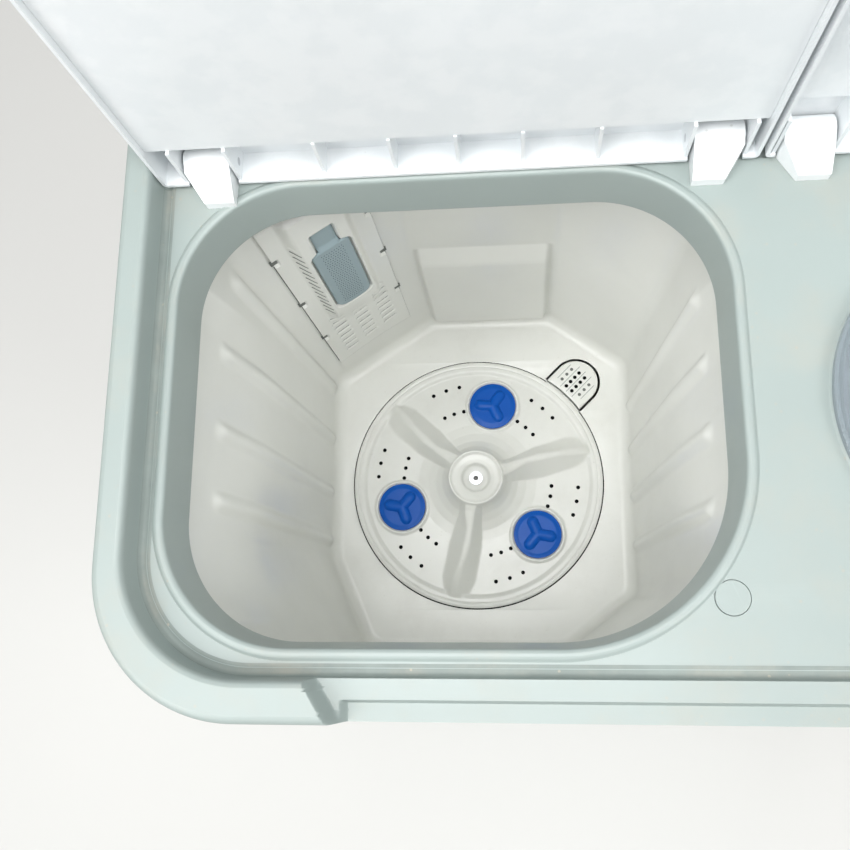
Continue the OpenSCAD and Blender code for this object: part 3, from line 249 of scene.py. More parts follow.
def noise(tree, vector, scale, detail, rough=0.55):
    node = tree.nodes.new("ShaderNodeTexNoise")
    if isinstance(scale, (int, float)):
        node.inputs["Scale"].default_value = scale
    else:
        tree.links.new(scale, node.inputs["Scale"])
    node.inputs["Detail"].default_value = detail
    node.inputs["Roughness"].default_value = rough
    tree.links.new(vector, node.inputs["Vector"])
    return node.outputs["Fac"]


def maths(tree, kind, a, b=None, clamp=False):
    node = tree.nodes.new("ShaderNodeMath")
    node.operation = kind
    node.use_clamp = clamp
    for socket, value in zip(node.inputs, (a, b)):
        if value is None:
            continue
        if isinstance(value, (int, float)):
            socket.default_value = value
        else:
            tree.links.new(value, socket)
    return node.outputs[0]


def mapped(tree, value, low, high, to_low=0.0, to_high=1.0):
    node = tree.nodes.new("ShaderNodeMapRange")
    node.interpolation_type = "SMOOTHSTEP"
    for label, number in (("From Min", low), ("From Max", high), ("To Min", to_low), ("To Max", to_high)):
        if isinstance(number, (int, float)):
            node.inputs[label].default_value = number
        else:
            tree.links.new(number, node.inputs[label])
    tree.links.new(value, node.inputs["Value"])
    return node.outputs["Result"]


def blend_colour(tree, mask, a, b):
    node = tree.nodes.new("ShaderNodeMix")
    node.data_type = "RGBA"
    tree.links.new(mask, node.inputs["Factor"])
    for socket, value in ((node.inputs[6], a), (node.inputs[7], b)):
        if isinstance(value, tuple):
            socket.default_value = value
        else:
            tree.links.new(value, socket)
    return node.outputs[2]


def grain_group():
    """Fine moulded or cast skin: a height, and slow changes of tone."""
    group, source, sink = new_group(
        "Moulded grain", [("Grain Scale", "NodeSocketFloat", 900.0), ("Tone Scale", "NodeSocketFloat", 9.0),
                          ("Tone Amount", "NodeSocketFloat", 0.04)],
        [("Height", "NodeSocketFloat"), ("Tone", "NodeSocketFloat")])
    place = group.nodes.new("ShaderNodeTexCoord").outputs["Object"]
    fine = noise(group, place, source.outputs["Grain Scale"], 3.0)
    slow = noise(group, place, source.outputs["Tone Scale"], 4.0)
    swing = maths(group, "MULTIPLY", maths(group, "SUBTRACT", slow, 0.5), source.outputs["Tone Amount"])
    group.links.new(fine, sink.inputs["Height"])
    group.links.new(maths(group, "ADD", swing, 1.0), sink.inputs["Tone"])
    return group


def dust_group():
    """Dust that settles on faces that look up, in patches and specks."""
    group, source, sink = new_group(
        "Settled dust", [("Amount", "NodeSocketFloat", 0.3), ("Specks", "NodeSocketFloat", 0.3)],
        [("Mask", "NodeSocketFloat")])
    place = group.nodes.new("ShaderNodeTexCoord").outputs["Object"]
    shape = group.nodes.new("ShaderNodeNewGeometry")
    split = group.nodes.new("ShaderNodeSeparateXYZ")
    group.links.new(shape.outputs["Normal"], split.inputs[0])
    up = mapped(group, split.outputs["Z"], 0.55, 0.95)
    patches = mapped(group, noise(group, place, 14.0, 6.0, 0.65), 0.46, 0.72)
    crumbs = group.nodes.new("ShaderNodeTexVoronoi")
    crumbs.inputs["Scale"].default_value = 160.0
    group.links.new(place, crumbs.inputs["Vector"])
    near = mapped(group, crumbs.outputs["Distance"], 0.10, 0.22, 1.0, 0.0)
    sparse = mapped(group, noise(group, place, 55.0, 2.0), 0.56, 0.66)
    specks = maths(group, "MULTIPLY", maths(group, "MULTIPLY", near, sparse), source.outputs["Specks"])
    film = maths(group, "MULTIPLY", patches, source.outputs["Amount"])
    both = maths(group, "ADD", film, specks, clamp=True)
    group.links.new(maths(group, "MULTIPLY", both, up, clamp=True), sink.inputs["Mask"])
    return group


def smear_group():
    """Wiped streaks that change the gloss."""
    group, source, sink = new_group(
        "Wiped smears", [("Base", "NodeSocketFloat", 0.35), ("Swing", "NodeSocketFloat", 0.15)],
        [("Roughness", "NodeSocketFloat"), ("Mask", "NodeSocketFloat")])
    place = group.nodes.new("ShaderNodeTexCoord").outputs["Object"]
    turn = group.nodes.new("ShaderNodeMapping")
    turn.inputs["Rotation"].default_value = (0.2, 0.1, 0.5)
    turn.inputs["Scale"].default_value = (5.0, 22.0, 9.0)
    group.links.new(place, turn.inputs["Vector"])
    streaks = mapped(group, noise(group, turn.outputs["Vector"], 1.0, 5.0, 0.6), 0.38, 0.68)
    swing = maths(group, "MULTIPLY", streaks, source.outputs["Swing"])
    group.links.new(maths(group, "ADD", swing, source.outputs["Base"], clamp=True), sink.inputs["Roughness"])
    group.links.new(streaks, sink.inputs["Mask"])
    return group


def wear_group():
    """Rubbed edges: a mask where the surface bends outward."""
    group, source, sink = new_group(
        "Rubbed edges", [("Amount", "NodeSocketFloat", 0.3), ("Breakup", "NodeSocketFloat", 40.0)],
        [("Mask", "NodeSocketFloat")])
    place = group.nodes.new("ShaderNodeTexCoord").outputs["Object"]
    shape = group.nodes.new("ShaderNodeNewGeometry")
    edge = mapped(group, shape.outputs["Pointiness"], 0.52, 0.60)
    broken = mapped(group, noise(group, place, source.outputs["Breakup"], 5.0), 0.40, 0.62)
    mask = maths(group, "MULTIPLY", maths(group, "MULTIPLY", edge, broken), source.outputs["Amount"])
    group.links.new(mask, sink.inputs["Mask"])
    return group


GRAIN = grain_group()
DUST = dust_group()
SMEAR = smear_group()
WEAR = wear_group()


def use(tree, group, **values):
    node = tree.nodes.new("ShaderNodeGroup")
    node.node_tree = group
    for label, value in values.items():
        node.inputs[label.replace("_", " ")].default_value = value
    return node.outputs


def finish_of(name, colour, rough=0.35, metal=0.0, grain=(900.0, 0.05, 0.0002), tone=(9.0, 0.05),
              dust=(0.25, 0.3), smear=0.12, wear=(0.25, None), coat=0.0, sheet=0.0, specular=0.5):
    """One surface finish, with its tone, gloss, dust and worn edges."""
    material = bpy.data.materials.new(name)
    material.use_nodes = True
    tree = material.node_tree
    shader = tree.nodes["Principled BSDF"]
    skin_of = use(tree, GRAIN, Grain_Scale=grain[0], Tone_Scale=tone[0], Tone_Amount=tone[1] * 2)
    wiped = use(tree, SMEAR, Base=rough, Swing=smear)
    settled = use(tree, DUST, Amount=dust[0], Specks=dust[1])
    worn = use(tree, WEAR, Amount=wear[0])
    base = tree.nodes.new("ShaderNodeHueSaturation")
    base.inputs["Color"].default_value = colour
    tree.links.new(skin_of["Tone"], base.inputs["Value"])
    shade = blend_colour(tree, worn["Mask"], base.outputs["Color"],
                         wear[1] or tuple(min(1.0, c * 1.3 + 0.02) for c in colour[:3]) + (1.0,))
    shade = blend_colour(tree, settled["Mask"], shade, tint(168, 164, 152))
    tree.links.new(shade, shader.inputs["Base Color"])
    tree.links.new(maths(tree, "ADD", wiped["Roughness"],
                         maths(tree, "MULTIPLY", settled["Mask"], 0.4), clamp=True),
                   shader.inputs["Roughness"])
    bump = tree.nodes.new("ShaderNodeBump")
    bump.inputs["Strength"].default_value = grain[1] * 4
    bump.inputs["Distance"].default_value = grain[2]
    tree.links.new(skin_of["Height"], bump.inputs["Height"])
    tree.links.new(bump.outputs["Normal"], shader.inputs["Normal"])
    shader.inputs["Metallic"].default_value = metal
    shader.inputs["Coat Weight"].default_value = coat
    shader.inputs["Coat Roughness"].default_value = 0.15
    shader.inputs["Specular IOR Level"].default_value = specular
    if sheet:
        shader.inputs["Transmission Weight"].default_value = sheet
    return material


WHITE_DECK = finish_of("Deck moulding", tint(152, 163, 160), 0.38, dust=(0.30, 0.55), smear=0.07, coat=0.12)
# A darker, mottled finish for the band at the foot of the rim's inner wall.
DARKER_GROOVE = finish_of("Darker groove band", tint(130, 140, 136), 0.6, tone=(40.0, 0.22), dust=(0.5, 1.0), smear=0.1)
SHADE = finish_of("Shaded recess", tint(112, 116, 112), 0.7, dust=(0.0, 0.0), specular=0.2)
WHITE_CABINET = finish_of("Painted steel", tint(232, 236, 237), 0.30, coat=0.3, dust=(0.1, 0.1))
WHITE_LID = finish_of("Lid moulding", tint(232, 236, 238), 0.32, coat=0.2, dust=(0.15, 0.2))
WHITE_TUB = finish_of("Tub moulding", tint(229, 230, 225), 0.30, coat=0.25, dust=(0.10, 0.10), smear=0.16)
WHITE_PULSATOR = finish_of("Pulsator moulding", tint(224, 225, 220), 0.28, coat=0.25, dust=(0.12, 0.15))
BLUE = finish_of("Blue moulding", tint(0, 84, 178), 0.32, coat=0.0, dust=(0.0, 0.0), specular=0.22)
SLATE = finish_of("Filter moulding", tint(150, 168, 174), 0.42, dust=(0.1, 0.2))
CONSOLE = finish_of("Console moulding", tint(214, 220, 224), 0.36, coat=0.15)
PANEL = finish_of("Console panel", tint(120, 134, 148), 0.42)
KNOB = finish_of("Knob moulding", tint(238, 240, 240), 0.28, coat=0.3, dust=(0.05, 0.1))
# Dark finish for the printed console marks; it is also painted shade standing in for the filter insert's holes.
INK_AND_HOLE_SHADE = finish_of("Printed marks and hole shade", tint(44, 52, 60), 0.5, dust=(0.0, 0.0))
CLEAR = finish_of("Smoked inner lid", tint(205, 216, 222), 0.12, sheet=0.75, smear=0.06, dust=(0.05, 0.1))
STEEL = finish_of("Bright steel", tint(186, 189, 192), 0.28, 1.0, (500.0, 0.04, 0.0001), wear=(0.2, None))
SCREW = finish_of("Screw steel", tint(128, 128, 126), 0.6, 0.25, (500.0, 0.04, 0.0001), dust=(0.3, 0.3),
                  specular=0.2)
BASKET = finish_of("Basket steel", tint(196, 199, 202), 0.24, 1.0, (700.0, 0.03, 0.0001), dust=(0.05, 0.05))
ZINC = finish_of("Galvanised steel", tint(160, 165, 168), 0.45, 0.9, (60.0, 0.05, 0.0002), tone=(60.0, 0.12))
MOTOR = finish_of("Motor paint", tint(66, 70, 74), 0.5, 0.2, dust=(0.4, 0.4))
ALLOY = finish_of("Cast alloy", tint(150, 152, 154), 0.5, 0.9, (260.0, 0.15, 0.0006))
BASE = finish_of("Base moulding", tint(120, 126, 130), 0.5, grain=(400.0, 0.1, 0.0005))
RUBBER = finish_of("Black rubber", tint(28, 28, 29), 0.7, grain=(600.0, 0.1, 0.0004), specular=0.3)
IVORY = finish_of("Switch moulding", tint(224, 218, 198), 0.45)
PIPE = finish_of("Pipe moulding", tint(150, 154, 156), 0.5)
DARK = finish_of("Shadowed hole", tint(14, 15, 16), 0.8, dust=(0.0, 0.0), specular=0.1)
POSTS = finish_of("Post moulding", tint(240, 243, 244), 0.28, coat=0.3, dust=(0.15, 0.3))
SEAM_SHADOW = finish_of("Seam shadow line", tint(120, 128, 128), 0.55, dust=(0.3, 0.3))

CAD_FINISH = {
    WHITE_CABINET: "cabinet rear_cover",
    BASE: "base_pan",
    RUBBER: "feet shaft_seal bellows_seal drive_belt damper_springs cable_gland",
    STEEL: "rear_cover_screws console_screws pulsator_shaft pulsator_screw mini_pulsator_clips spin_shaft "
           "inner_lid_pins wash_lid_pins spin_lid_pins damper_bolts gearbox_bolts",
    ZINC: "motor_bracket motor_pulley gearbox_pulley brake_drum brake_arm",
    WHITE_DECK: "top_cover deck_cap",
    POSTS: "wash_hinge_posts spin_hinge_posts",
    CONSOLE: "console",
    WHITE_TUB: "wash_tub drain_strainer lint_filter_frame spin_tub drain_valve",
    SLATE: "lint_filter_insert drain_plunger",
    ALLOY: "gearbox",
    MOTOR: "wash_motor spin_motor",
    WHITE_PULSATOR: "pulsator",
    BLUE: "mini_pulsator_1 mini_pulsator_2 mini_pulsator_3",
    BASKET: "spin_basket",
    CLEAR: "spin_inner_lid",
    WHITE_LID: "wash_lid wash_lid_liner spin_lid spin_lid_liner",
    IVORY: "wash_timer spin_timer selector_box water_inlets motor_capacitors",
    KNOB: "wash_timer_knob drain_selector_knob spin_timer_knob",
    PIPE: "drain_pipe",
}
for material, names in CAD_FINISH.items():
    for name in names.split():
        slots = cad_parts[name].data.materials
        slots.clear()
        slots.append(material)

# ------------------------------------------------- edges of the kept pieces

BROKEN_EDGES = {
    "cabinet": 1.2, "base_pan": 0.8, "feet": 1.5, "rear_cover": 0.8, "wash_hinge_posts": 1.6,
    "spin_hinge_posts": 1.6, "console": 3.0, "wash_lid": 1.1, "spin_lid": 1.1, "wash_lid_liner": 0.8,
    "spin_lid_liner": 0.8, "lint_filter_frame": 1.1, "lint_filter_insert": 0.5, "drain_strainer": 0.6,
    "deck_cap": 0.7, "wash_timer_knob": 1.0, "drain_selector_knob": 1.0, "spin_timer_knob": 1.0,
    "spin_inner_lid": 0.6, "gearbox": 1.5, "wash_motor": 2.0, "spin_motor": 2.0, "brake_drum": 0.8,
    "drain_pipe": 0.4, "water_inlets": 0.6, "cable_gland": 0.5, "pulsator_screw": 0.3,
}
for name, width in BROKEN_EDGES.items():
    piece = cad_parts[name]
    for face in piece.data.polygons:
        face.use_smooth = True
    weld = piece.modifiers.new("Weld seams", "WELD")
    weld.merge_threshold = 0.00002
    bevel = piece.modifiers.new("Broken edges", "BEVEL")
    bevel.width = width / 1000
    bevel.segments = 3
    bevel.limit_method = "ANGLE"
    bevel.angle_limit = math.radians(38)
    bevel.miter_outer = "MITER_ARC"
    bevel.use_clamp_overlap = True
    even_normals(piece, False)


def settle(piece, material, body, slot, *nodes):
    """Gives a piece its finish and body, and hides the nodes it stands in for. The slot argument is not used."""
    piece.data.materials.clear()
    piece.data.materials.append(material)
    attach(piece, body)
    if nodes:
        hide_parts(*nodes)
    return piece


# ------------------------------------------------------------- deck cover

RIM_SIDE, RIM_FRONT, CORNER = 21, 27, 100
RECESS_X0, RECESS_X1, RECESS_STRIP = 163, 597, 13
LEDGE, STRIP_DROP = 5, 3.5
TROUGH_Y = 383
SPIN_X, SPIN_Y, SPIN_COLLAR_R = BODY_W - 155, 205, 108
CAP_X, CAP_Y = 417, 78
RIM_INNER_CORNER = CORNER - 17


def rim_path(inset_side, inset_front, radius, per_side=60, per_corner=44):
    """U-shaped line down the left side, along the front and up the right side."""
    x0, x1, y0 = inset_side, BODY_W - inset_side, inset_front
    line = [(x0, CONSOLE_Y + (y0 + radius - CONSOLE_Y) * i / per_side) for i in range(per_side)]
    line += [(x0 + radius - radius * math.cos(a), y0 + radius - radius * math.sin(a))
             for a in [math.pi / 2 * i / per_corner for i in range(per_corner)]]
    share = [(x - 100) / (BODY_W - 200) for x in FRONT_STOPS]
    line += [(x0 + radius + (x1 - x0 - 2 * radius) * s, y0) for s in share]
    line += [(x1 - radius + radius * math.sin(a), y0 + radius - radius * math.cos(a))
             for a in [math.pi / 2 * i / per_corner for i in range(1, per_corner + 1)]]
    line += [(x1, y0 + radius + (CONSOLE_Y - y0 - radius) * i / per_side) for i in range(1, per_side + 1)]
    return line


FRONT_STOPS = sorted(set(
    [100 + (BODY_W - 200) * i / 40 for i in range(41)]
    + [RECESS_X0 - 22 + i * 0.9 for i in range(34)] + [RECESS_X1 - 8 + i * 0.9 for i in range(34)]))


def recess_at(x, y):
    """1 inside the finger recess, 0 outside it, with a slanted end at each side."""
    lean = 16 - (RIM_FRONT - min(y, RIM_FRONT)) / RIM_FRONT * 17
    low, high = RECESS_X0 - lean, RECESS_X1 + lean
    return smooth(low - 3.5, low + 3.5, x) * (1 - smooth(high - 3.5, high + 3.5, x))


def rim_height(x, y, z):
    """Lowers the rim's top where the fingers reach under the lids."""
    if y > RIM_FRONT + 3:
        return z
    cut = recess_at(x, y)
    strip = (smooth(RECESS_X0 + 2, RECESS_X0 + 7, x) * (1 - smooth(RECESS_X1 - 7, RECESS_X1 - 2, x))
             * (1 - smooth(RECESS_STRIP - 1.2, RECESS_STRIP + 1.2, y)))
    low = LEDGE - (LEDGE + STRIP_DROP) * strip
    return z + (min(z, DECK + low) - z) * cut


def deck_cover():
    side = [(0.0, -40.0), (0.0, -20.0), (0.0, 12.0), (0.0, 19.5), (0.5, 21.6), (1.6, 23.4), (3.4, 24.6),
            (5.6, 25.0)]
    across = [0.29 + 0.02 * i for i in range(24)]
    rings = []
    for inset, z in side:
        rings.append([(x, y, rim_height(x, y, DECK + z)) for x, y in rim_path(inset, inset, CORNER - inset)])
    for t in across:
        line = rim_path(RIM_SIDE * t, RIM_FRONT * t, CORNER - 18 * t)
        rings.append([(x, y, rim_height(x, y, DECK + RIM_H)) for x, y in line])
    inner = [(-4.6, 25.0), (-2.6, 24.5), (-1.2, 23.2), (-0.4, 21.4), (0.0, 19.0), (0.4, 10.0), (0.8, 3.2),
             (1.4, 0.8), (2.6, -0.7), (4.2, -1.1), (5.6, -0.9), (6.6, -0.2), (7.6, 0.0)]
    for out, z in inner:
        line = rim_path(RIM_SIDE + out, RIM_FRONT + out, RIM_INNER_CORNER - out)
        rings.append([(x, y, rim_height(x, y, DECK + z)) for x, y in line])
    rim = skin("rim", rings, closed=False)
    edge = [p[:2] for p in rings[-1]]
    edge = [p for p in edge if p[1] <= TROUGH_Y]
    edge = [(edge[0][0], TROUGH_Y)] + edge + [(edge[-1][0], TROUGH_Y)]
    wash = opening(8.5)
    spin = circle(SPIN_X, SPIN_Y, SPIN_COLLAR_R + 9, 128)
    cap = circle(CAP_X, CAP_Y, 11.6, 48)
    deck = plate("deck", [edge, wash, spin, cap], DECK)
    trough = skin("trough", [
        [(edge[0][0], TROUGH_Y, DECK), (edge[-1][0], TROUGH_Y, DECK)],
        [(edge[0][0], TROUGH_Y + 0.8, DECK - 2.6), (edge[-1][0], TROUGH_Y + 0.8, DECK - 2.6)],
        [(edge[0][0], TROUGH_Y + 2, DECK - 3), (edge[-1][0], TROUGH_Y + 2, DECK - 3)],
        [(edge[0][0], CONSOLE_Y - 0.6, DECK - 3), (edge[-1][0], CONSOLE_Y - 0.6, DECK - 3)]], closed=False)
    # bead and tapered collar around the wash opening
    collar = [(8.5, 0.0), (7.6, 0.3), (7.0, 1.2), (6.0, 1.9), (4.6, 2.2), (2.8, 2.2), (1.4, 1.8), (0.5, 0.9),
              (0.0, -0.4), (-0.3, -3.0), (-1.2, -12.0), (-2.2, -24.0), (-3.0, -37.5), (-2.7, -39.2),
              (-1.6, -40.0), (0.6, -40.0), (1.2, -36.0), (2.4, -4.0)]
    wash_collar = skin("wash_collar", [lifted(resample(opening(g), 360), DECK + z) for g, z in collar])
    ring = [(9.0, 0.0), (8.2, 0.4), (7.4, 1.2), (6.0, 1.9), (4.0, 2.1), (1.8, 1.8), (0.6, 1.0), (0.0, -0.6),
            (-0.2, -20.0), (-0.2, -39.0), (0.4, -40.0), (2.0, -40.0), (2.6, -38.0), (2.8, -4.0)]
    spin_collar = skin("spin_collar", [lifted(circle(SPIN_X, SPIN_Y, SPIN_COLLAR_R + g, 160), DECK + z)
                                       for g, z in ring])
    seat = skin("cap_seat", [lifted(circle(CAP_X, CAP_Y, r, 48), DECK + z)
                             for r, z in ((11.6, 0.0), (11.4, -0.3), (11.4, -2.2), (0.2, -2.2))])
    # A darker band along the foot of the rim's inner wall and the groove beside it.
    groove_band = [[(x, y, DECK + z)
              for x, y in rim_path(RIM_SIDE + out, RIM_FRONT + out, RIM_INNER_CORNER - out) if y < TROUGH_Y]
             for out, z in ((1.0, 2.6), (2.6, -0.5), (4.2, -0.9), (5.6, -0.7), (7.6, 0.15), (9.4, 0.1))]
    settle(skin("groove_dark_band", groove_band, closed=False), DARKER_GROOVE, "machine", "deck_blue")
    cover = join("deck_moulding", [rim, deck, trough, wash_collar, spin_collar, seat])
    for face in cover.data.polygons:
        if abs(face.normal.z) > 0.99999:
            face.use_smooth = False
    even_normals(cover, True)
    return settle(keep_sharp(cover, 42), WHITE_DECK, "machine", "deck_blue", "top_cover")


deck_cover()

# ----------------------------------------------------------------- wash tub

TUB_X0, TUB_X1, TUB_Y0, TUB_Y1 = 55, 417, 28, 440
TUB_LIP = DECK - 44
DRAFT = 0.03
LEFT_RIBS = (158, 216, 283, 348)
RIGHT_RIBS = (148, 206, 262, 316)
SUMP_ANGLE = math.radians(45)
SUMP_X = PULSATOR_X + (PULSATOR_R + 30) * math.cos(SUMP_ANGLE)
SUMP_Y = PULSATOR_Y + (PULSATOR_R + 30) * math.sin(SUMP_ANGLE)


def tub_line(grow, radius):
    """Outline of the tub with all eight walls moved out by the same amount."""
    x0, x1, y0, y1 = TUB_X0 - grow, TUB_X1 + grow, TUB_Y0 - grow, TUB_Y1 + grow
    ends = []
    for a, b in ((47, 108), (85, 64), (92, 66), (122, 78)):
        lean = math.atan2(b, a)
        ends.append((a - grow * math.tan(lean / 2), b - grow * math.tan(math.pi / 4 - lean / 2)))
    fl, fr, br, bl = ends
    corners = [(TUB_X0 + fl[0], y0), (TUB_X1 - fr[0], y0), (x1, TUB_Y0 + fr[1]), (x1, TUB_Y1 - br[1]),
               (TUB_X1 - br[0], y1), (TUB_X0 + bl[0], y1), (x0, TUB_Y1 - bl[1]), (x0, TUB_Y0 + fl[1])]
    return resample(rounded(corners, [radius] * 8, 3), 760)


def under_collar(x, y, z):
    """Moves a point of the upper wall out until it hides behind the collar."""
    r = 125 if x > 235 and y < 212 else 90
    dx, dy = abs(x - 235) - (197 - r), abs(y - 212) - (166 - r)
    reach = math.hypot(max(dx, 0), max(dy, 0)) + min(max(dx, dy), 0) - r
    short = 1.0 - reach
    if short <= 0 or z < TUB_LIP - 150:
        return x, y
    move = short * smooth(TUB_LIP - 150, TUB_LIP - 6, z)
    nx, ny = (max(dx, 0), max(dy, 0)) if max(dx, dy) > 0 else ((1, 0) if dx > dy else (0, 1))
    size = math.hypot(nx, ny)
    return x + math.copysign(nx / size * move, x - 235), y + math.copysign(ny / size * move, y - 212)


def lip_point(x, y, top):
    """The point of the tub's lip straight outward from a point of its wall."""
    cx, cy = (TUB_X0 + TUB_X1) / 2, (TUB_Y0 + TUB_Y1) / 2
    hx, hy, r = TUB_X1 - cx + top + 8 - 77, TUB_Y1 - cy + top + 2 - 77, 77
    low, high = 1.0, 2.0
    for _ in range(24):
        t = (low + high) / 2
        dx, dy = abs(x - cx) * t - hx, abs(y - cy) * t - hy
        reach = math.hypot(max(dx, 0), max(dy, 0)) + min(max(dx, dy), 0) - r
        low, high = (t, high) if reach < 0 else (low, t)
    return cx + (x - cx) * low, cy + (y - cy) * low


def rib_push(x, y, z, grow):
    """How far the ribs and the raised back panel stand into the tub."""
    fade = 1 - smooth(TUB_LIP - 60, TUB_LIP - 42, z)
    push_x = push_y = 0.0
    if x < TUB_X0 - grow + 2 or x > TUB_X1 + grow - 2:
        left = x < PULSATOR_X
        for rib in (LEFT_RIBS if left else RIGHT_RIBS):
            off = abs(y - rib)
            if off < 9.5:
                lift = 4.6 * (0.5 + 0.5 * math.cos(math.pi * off / 9.5)) ** 0.7 * fade
                push_x += lift if left else -lift
    if y > TUB_Y1 + grow - 2:
        panel = smooth(176, 184, x) * (1 - smooth(316, 324, x)) * (1 - smooth(594, 602, z))
        push_y -= 9.5 * panel
    return push_x, push_y


def wash_tub():
    rings = []
    for inset, z in ((14, 0.0), (10.5, 0.4), (7.2, 1.6), (4.2, 3.8), (1.9, 7.0), (0.6, 10.6), (0.0, 14.0)):
        line = tub_line(-inset + DRAFT * z, 22 if inset < 8 else 20)
        rings.append([(x, y, TUB_FLOOR + z) for x, y in line])
    z = 20.0
    while TUB_FLOOR + z < TUB_LIP:
        grow = DRAFT * z
        ring = []
        for x, y in tub_line(grow, 22):
            px, py = rib_push(x, y, TUB_FLOOR + z, grow)
            ox, oy = under_collar(x, y, TUB_FLOOR + z)
            ring.append((ox + px, oy + py, TUB_FLOOR + z))
        rings.append(ring)
        z += 4.0 if 188 < z < 204 or z > 340 else 14.0
    top = DRAFT * (TUB_LIP - TUB_FLOOR)
    rings.append([(*under_collar(x, y, TUB_LIP), TUB_LIP) for x, y in tub_line(top, 22)])
    lip_line = [lip_point(p[0], p[1], top) for p in rings[-1]]
    rings.append([(x, y, TUB_LIP) for x, y in lip_line])
    rings.append([(x, y, DECK - 9.4) for x, y in lip_line])
    wall = skin("tub_wall", rings)
    floor_edge = [p[:2] for p in rings[0]]
    well = circle(PULSATOR_X, PULSATOR_Y, PULSATOR_R + 1.5, 240)
    floor = plate("tub_floor", [floor_edge, well, strainer_line(0.6)], TUB_FLOOR)
    steps = ((PULSATOR_R + 1.5, 0), (PULSATOR_R + 1.5, -18), (18, -18), (18, -21))
    pit = skin("pulsator_well", [lifted(circle(PULSATOR_X, PULSATOR_Y, r, 240), TUB_FLOOR + z) for r, z in steps])
    lip = skin("strainer_seat", [lifted(resample(strainer_line(g), 200), TUB_FLOOR + z)
                                 for g, z in ((0.6, 0.0), (0.6, -2.4))])
    shelf = plate("sump_shelf", [strainer_line(0.6), circle(SUMP_X - 6, SUMP_Y - 6, 20, 60)], TUB_FLOOR - 2.4)
    sump = skin("tub_sump", [lifted(circle(SUMP_X - 6, SUMP_Y - 6, r, 60), TUB_FLOOR + z)
                             for r, z in ((20, -2.4), (20, -34), (12, -34))])
    # The well under the pulsator's edge takes the dark hole finish: painted shade.
    settle(keep_sharp(pit, 50), DARK, "machine", "black_rubber")
    for piece in (floor, lip, shelf, sump):
        piece.data.flip_normals()
    tub = join("tub_moulding", [wall, floor, lip, shelf, sump])
    thick = tub.modifiers.new("Tub wall", "SOLIDIFY")
    thick.thickness = 0.0024
    thick.offset = 1
    even_normals(tub, True)
    return settle(keep_sharp(tub, 50), WHITE_TUB, "machine", "tub_white", "wash_tub")


def strainer_line(grow):
    """Tongue-shaped outline beside the pulsator, with a round outer end."""
    w = 27 + grow
    far = PULSATOR_R + 50 - 27
    near = PULSATOR_R + 3 - grow
    local = []
    a0 = math.asin(w / near)
    for i in range(25):
        a = a0 - 2 * a0 * i / 24
        local.append((near * math.cos(a), near * math.sin(a)))
    for i in range(33):
        a = -math.pi / 2 + math.pi * i / 32
        local.append((far + w * math.cos(a), w * math.sin(a)))
    c, s = math.cos(SUMP_ANGLE), math.sin(SUMP_ANGLE)
    return [(PULSATOR_X + c * u - s * v, PULSATOR_Y + s * u + c * v) for u, v in local]


wash_tub()

# ---------------------------------------------------------------- strainer


def dots(name, places, radius, z, deep=0.0, sides=20):
    """A set of small dished spots that read as drilled holes."""
    points, faces = [], []
    for cx, cy in places:
        start = len(points)
        for r, dz in ((radius, 0.0), (radius * 0.8, -deep)):
            points += [(x, y, z + dz) for x, y in circle(cx, cy, r, sides)]
        for i in range(sides):
            j = (i + 1) % sides
            faces.append((start + i, start + j, start + sides + j, start + sides + i))
        faces.append(tuple(range(start + sides, start + 2 * sides)))
    return mesh_piece(name, points, faces)


def strainer_place(u, v):
    c, s = math.cos(SUMP_ANGLE), math.sin(SUMP_ANGLE)
    return (PULSATOR_X + c * u - s * v, PULSATOR_Y + s * u + c * v)


def strainer():
    count = 240
    steps = ((0.0, -2.4), (0.0, 0.6), (-0.4, 1.2), (-1.3, 1.6), (-3.5, 1.7), (-6.0, 1.9), (-10.0, 2.2),
             (-16.0, 2.4))
    rings = [lifted(resample(strainer_line(g - 0.1), count), TUB_FLOOR + z) for g, z in steps]
    body = skin("drain_strainer_plate", rings, cap_last=True)
    settle(body, WHITE_TUB, "machine", "tub_white", "drain_strainer")
    first = PULSATOR_R + 11
    inner = [strainer_place(first + 7.6 * i, 4.6 * s) for i in range(4) for s in (-1, 1)]
    holes = dots("strainer_holes", inner, 2.3, TUB_FLOOR + 2.7, 0.08)
    settle(holes, DARK, "machine", "tub_white")
    # The outer dimples are shallow dots in the painted-shade finish.
    outer = [strainer_place(first + 3 + 8.5 * i, 14.5 * s) for i in range(3) for s in (-1, 1)]
    dimples = dots("strainer_dimples", outer, 2.0, TUB_FLOOR + 2.5, 0.08)
    settle(dimples, SHADE, "machine", "filter_slate")
    # A thin strip of painted shade along the gap round the strainer plate.
    edge = skin("strainer_gap_shade", [lifted(resample(strainer_line(g), count), TUB_FLOOR + 0.3)
                                 for g in (-0.05, 0.35)])
    settle(edge, SHADE, "machine", "tub_white")
    # Thin dark strips in the seam-shadow finish: painted shade standing for the strainer's creases.
    points, faces = [], []
    for v in (-19.5, -9.6, 0.0, 9.6, 19.5):
        long = 15 if abs(v) > 15 else 22
        start = len(points)
        for du, dv in ((-long, -0.28), (long, -0.28), (long, 0.28), (-long, 0.28)):
            x, y = strainer_place(first + 12 + du * 0.8, v + dv)
            points.append((x, y, TUB_FLOOR + 2.52 - (0.12 if abs(v) > 15 else 0)))
        faces.append((start, start + 1, start + 2, start + 3))
    creases = mesh_piece("strainer_creases", points, faces, False)
    settle(creases, SEAM_SHADOW, "machine", "tub_white")


strainer()

# ------------------------------------------------------------- lint filter

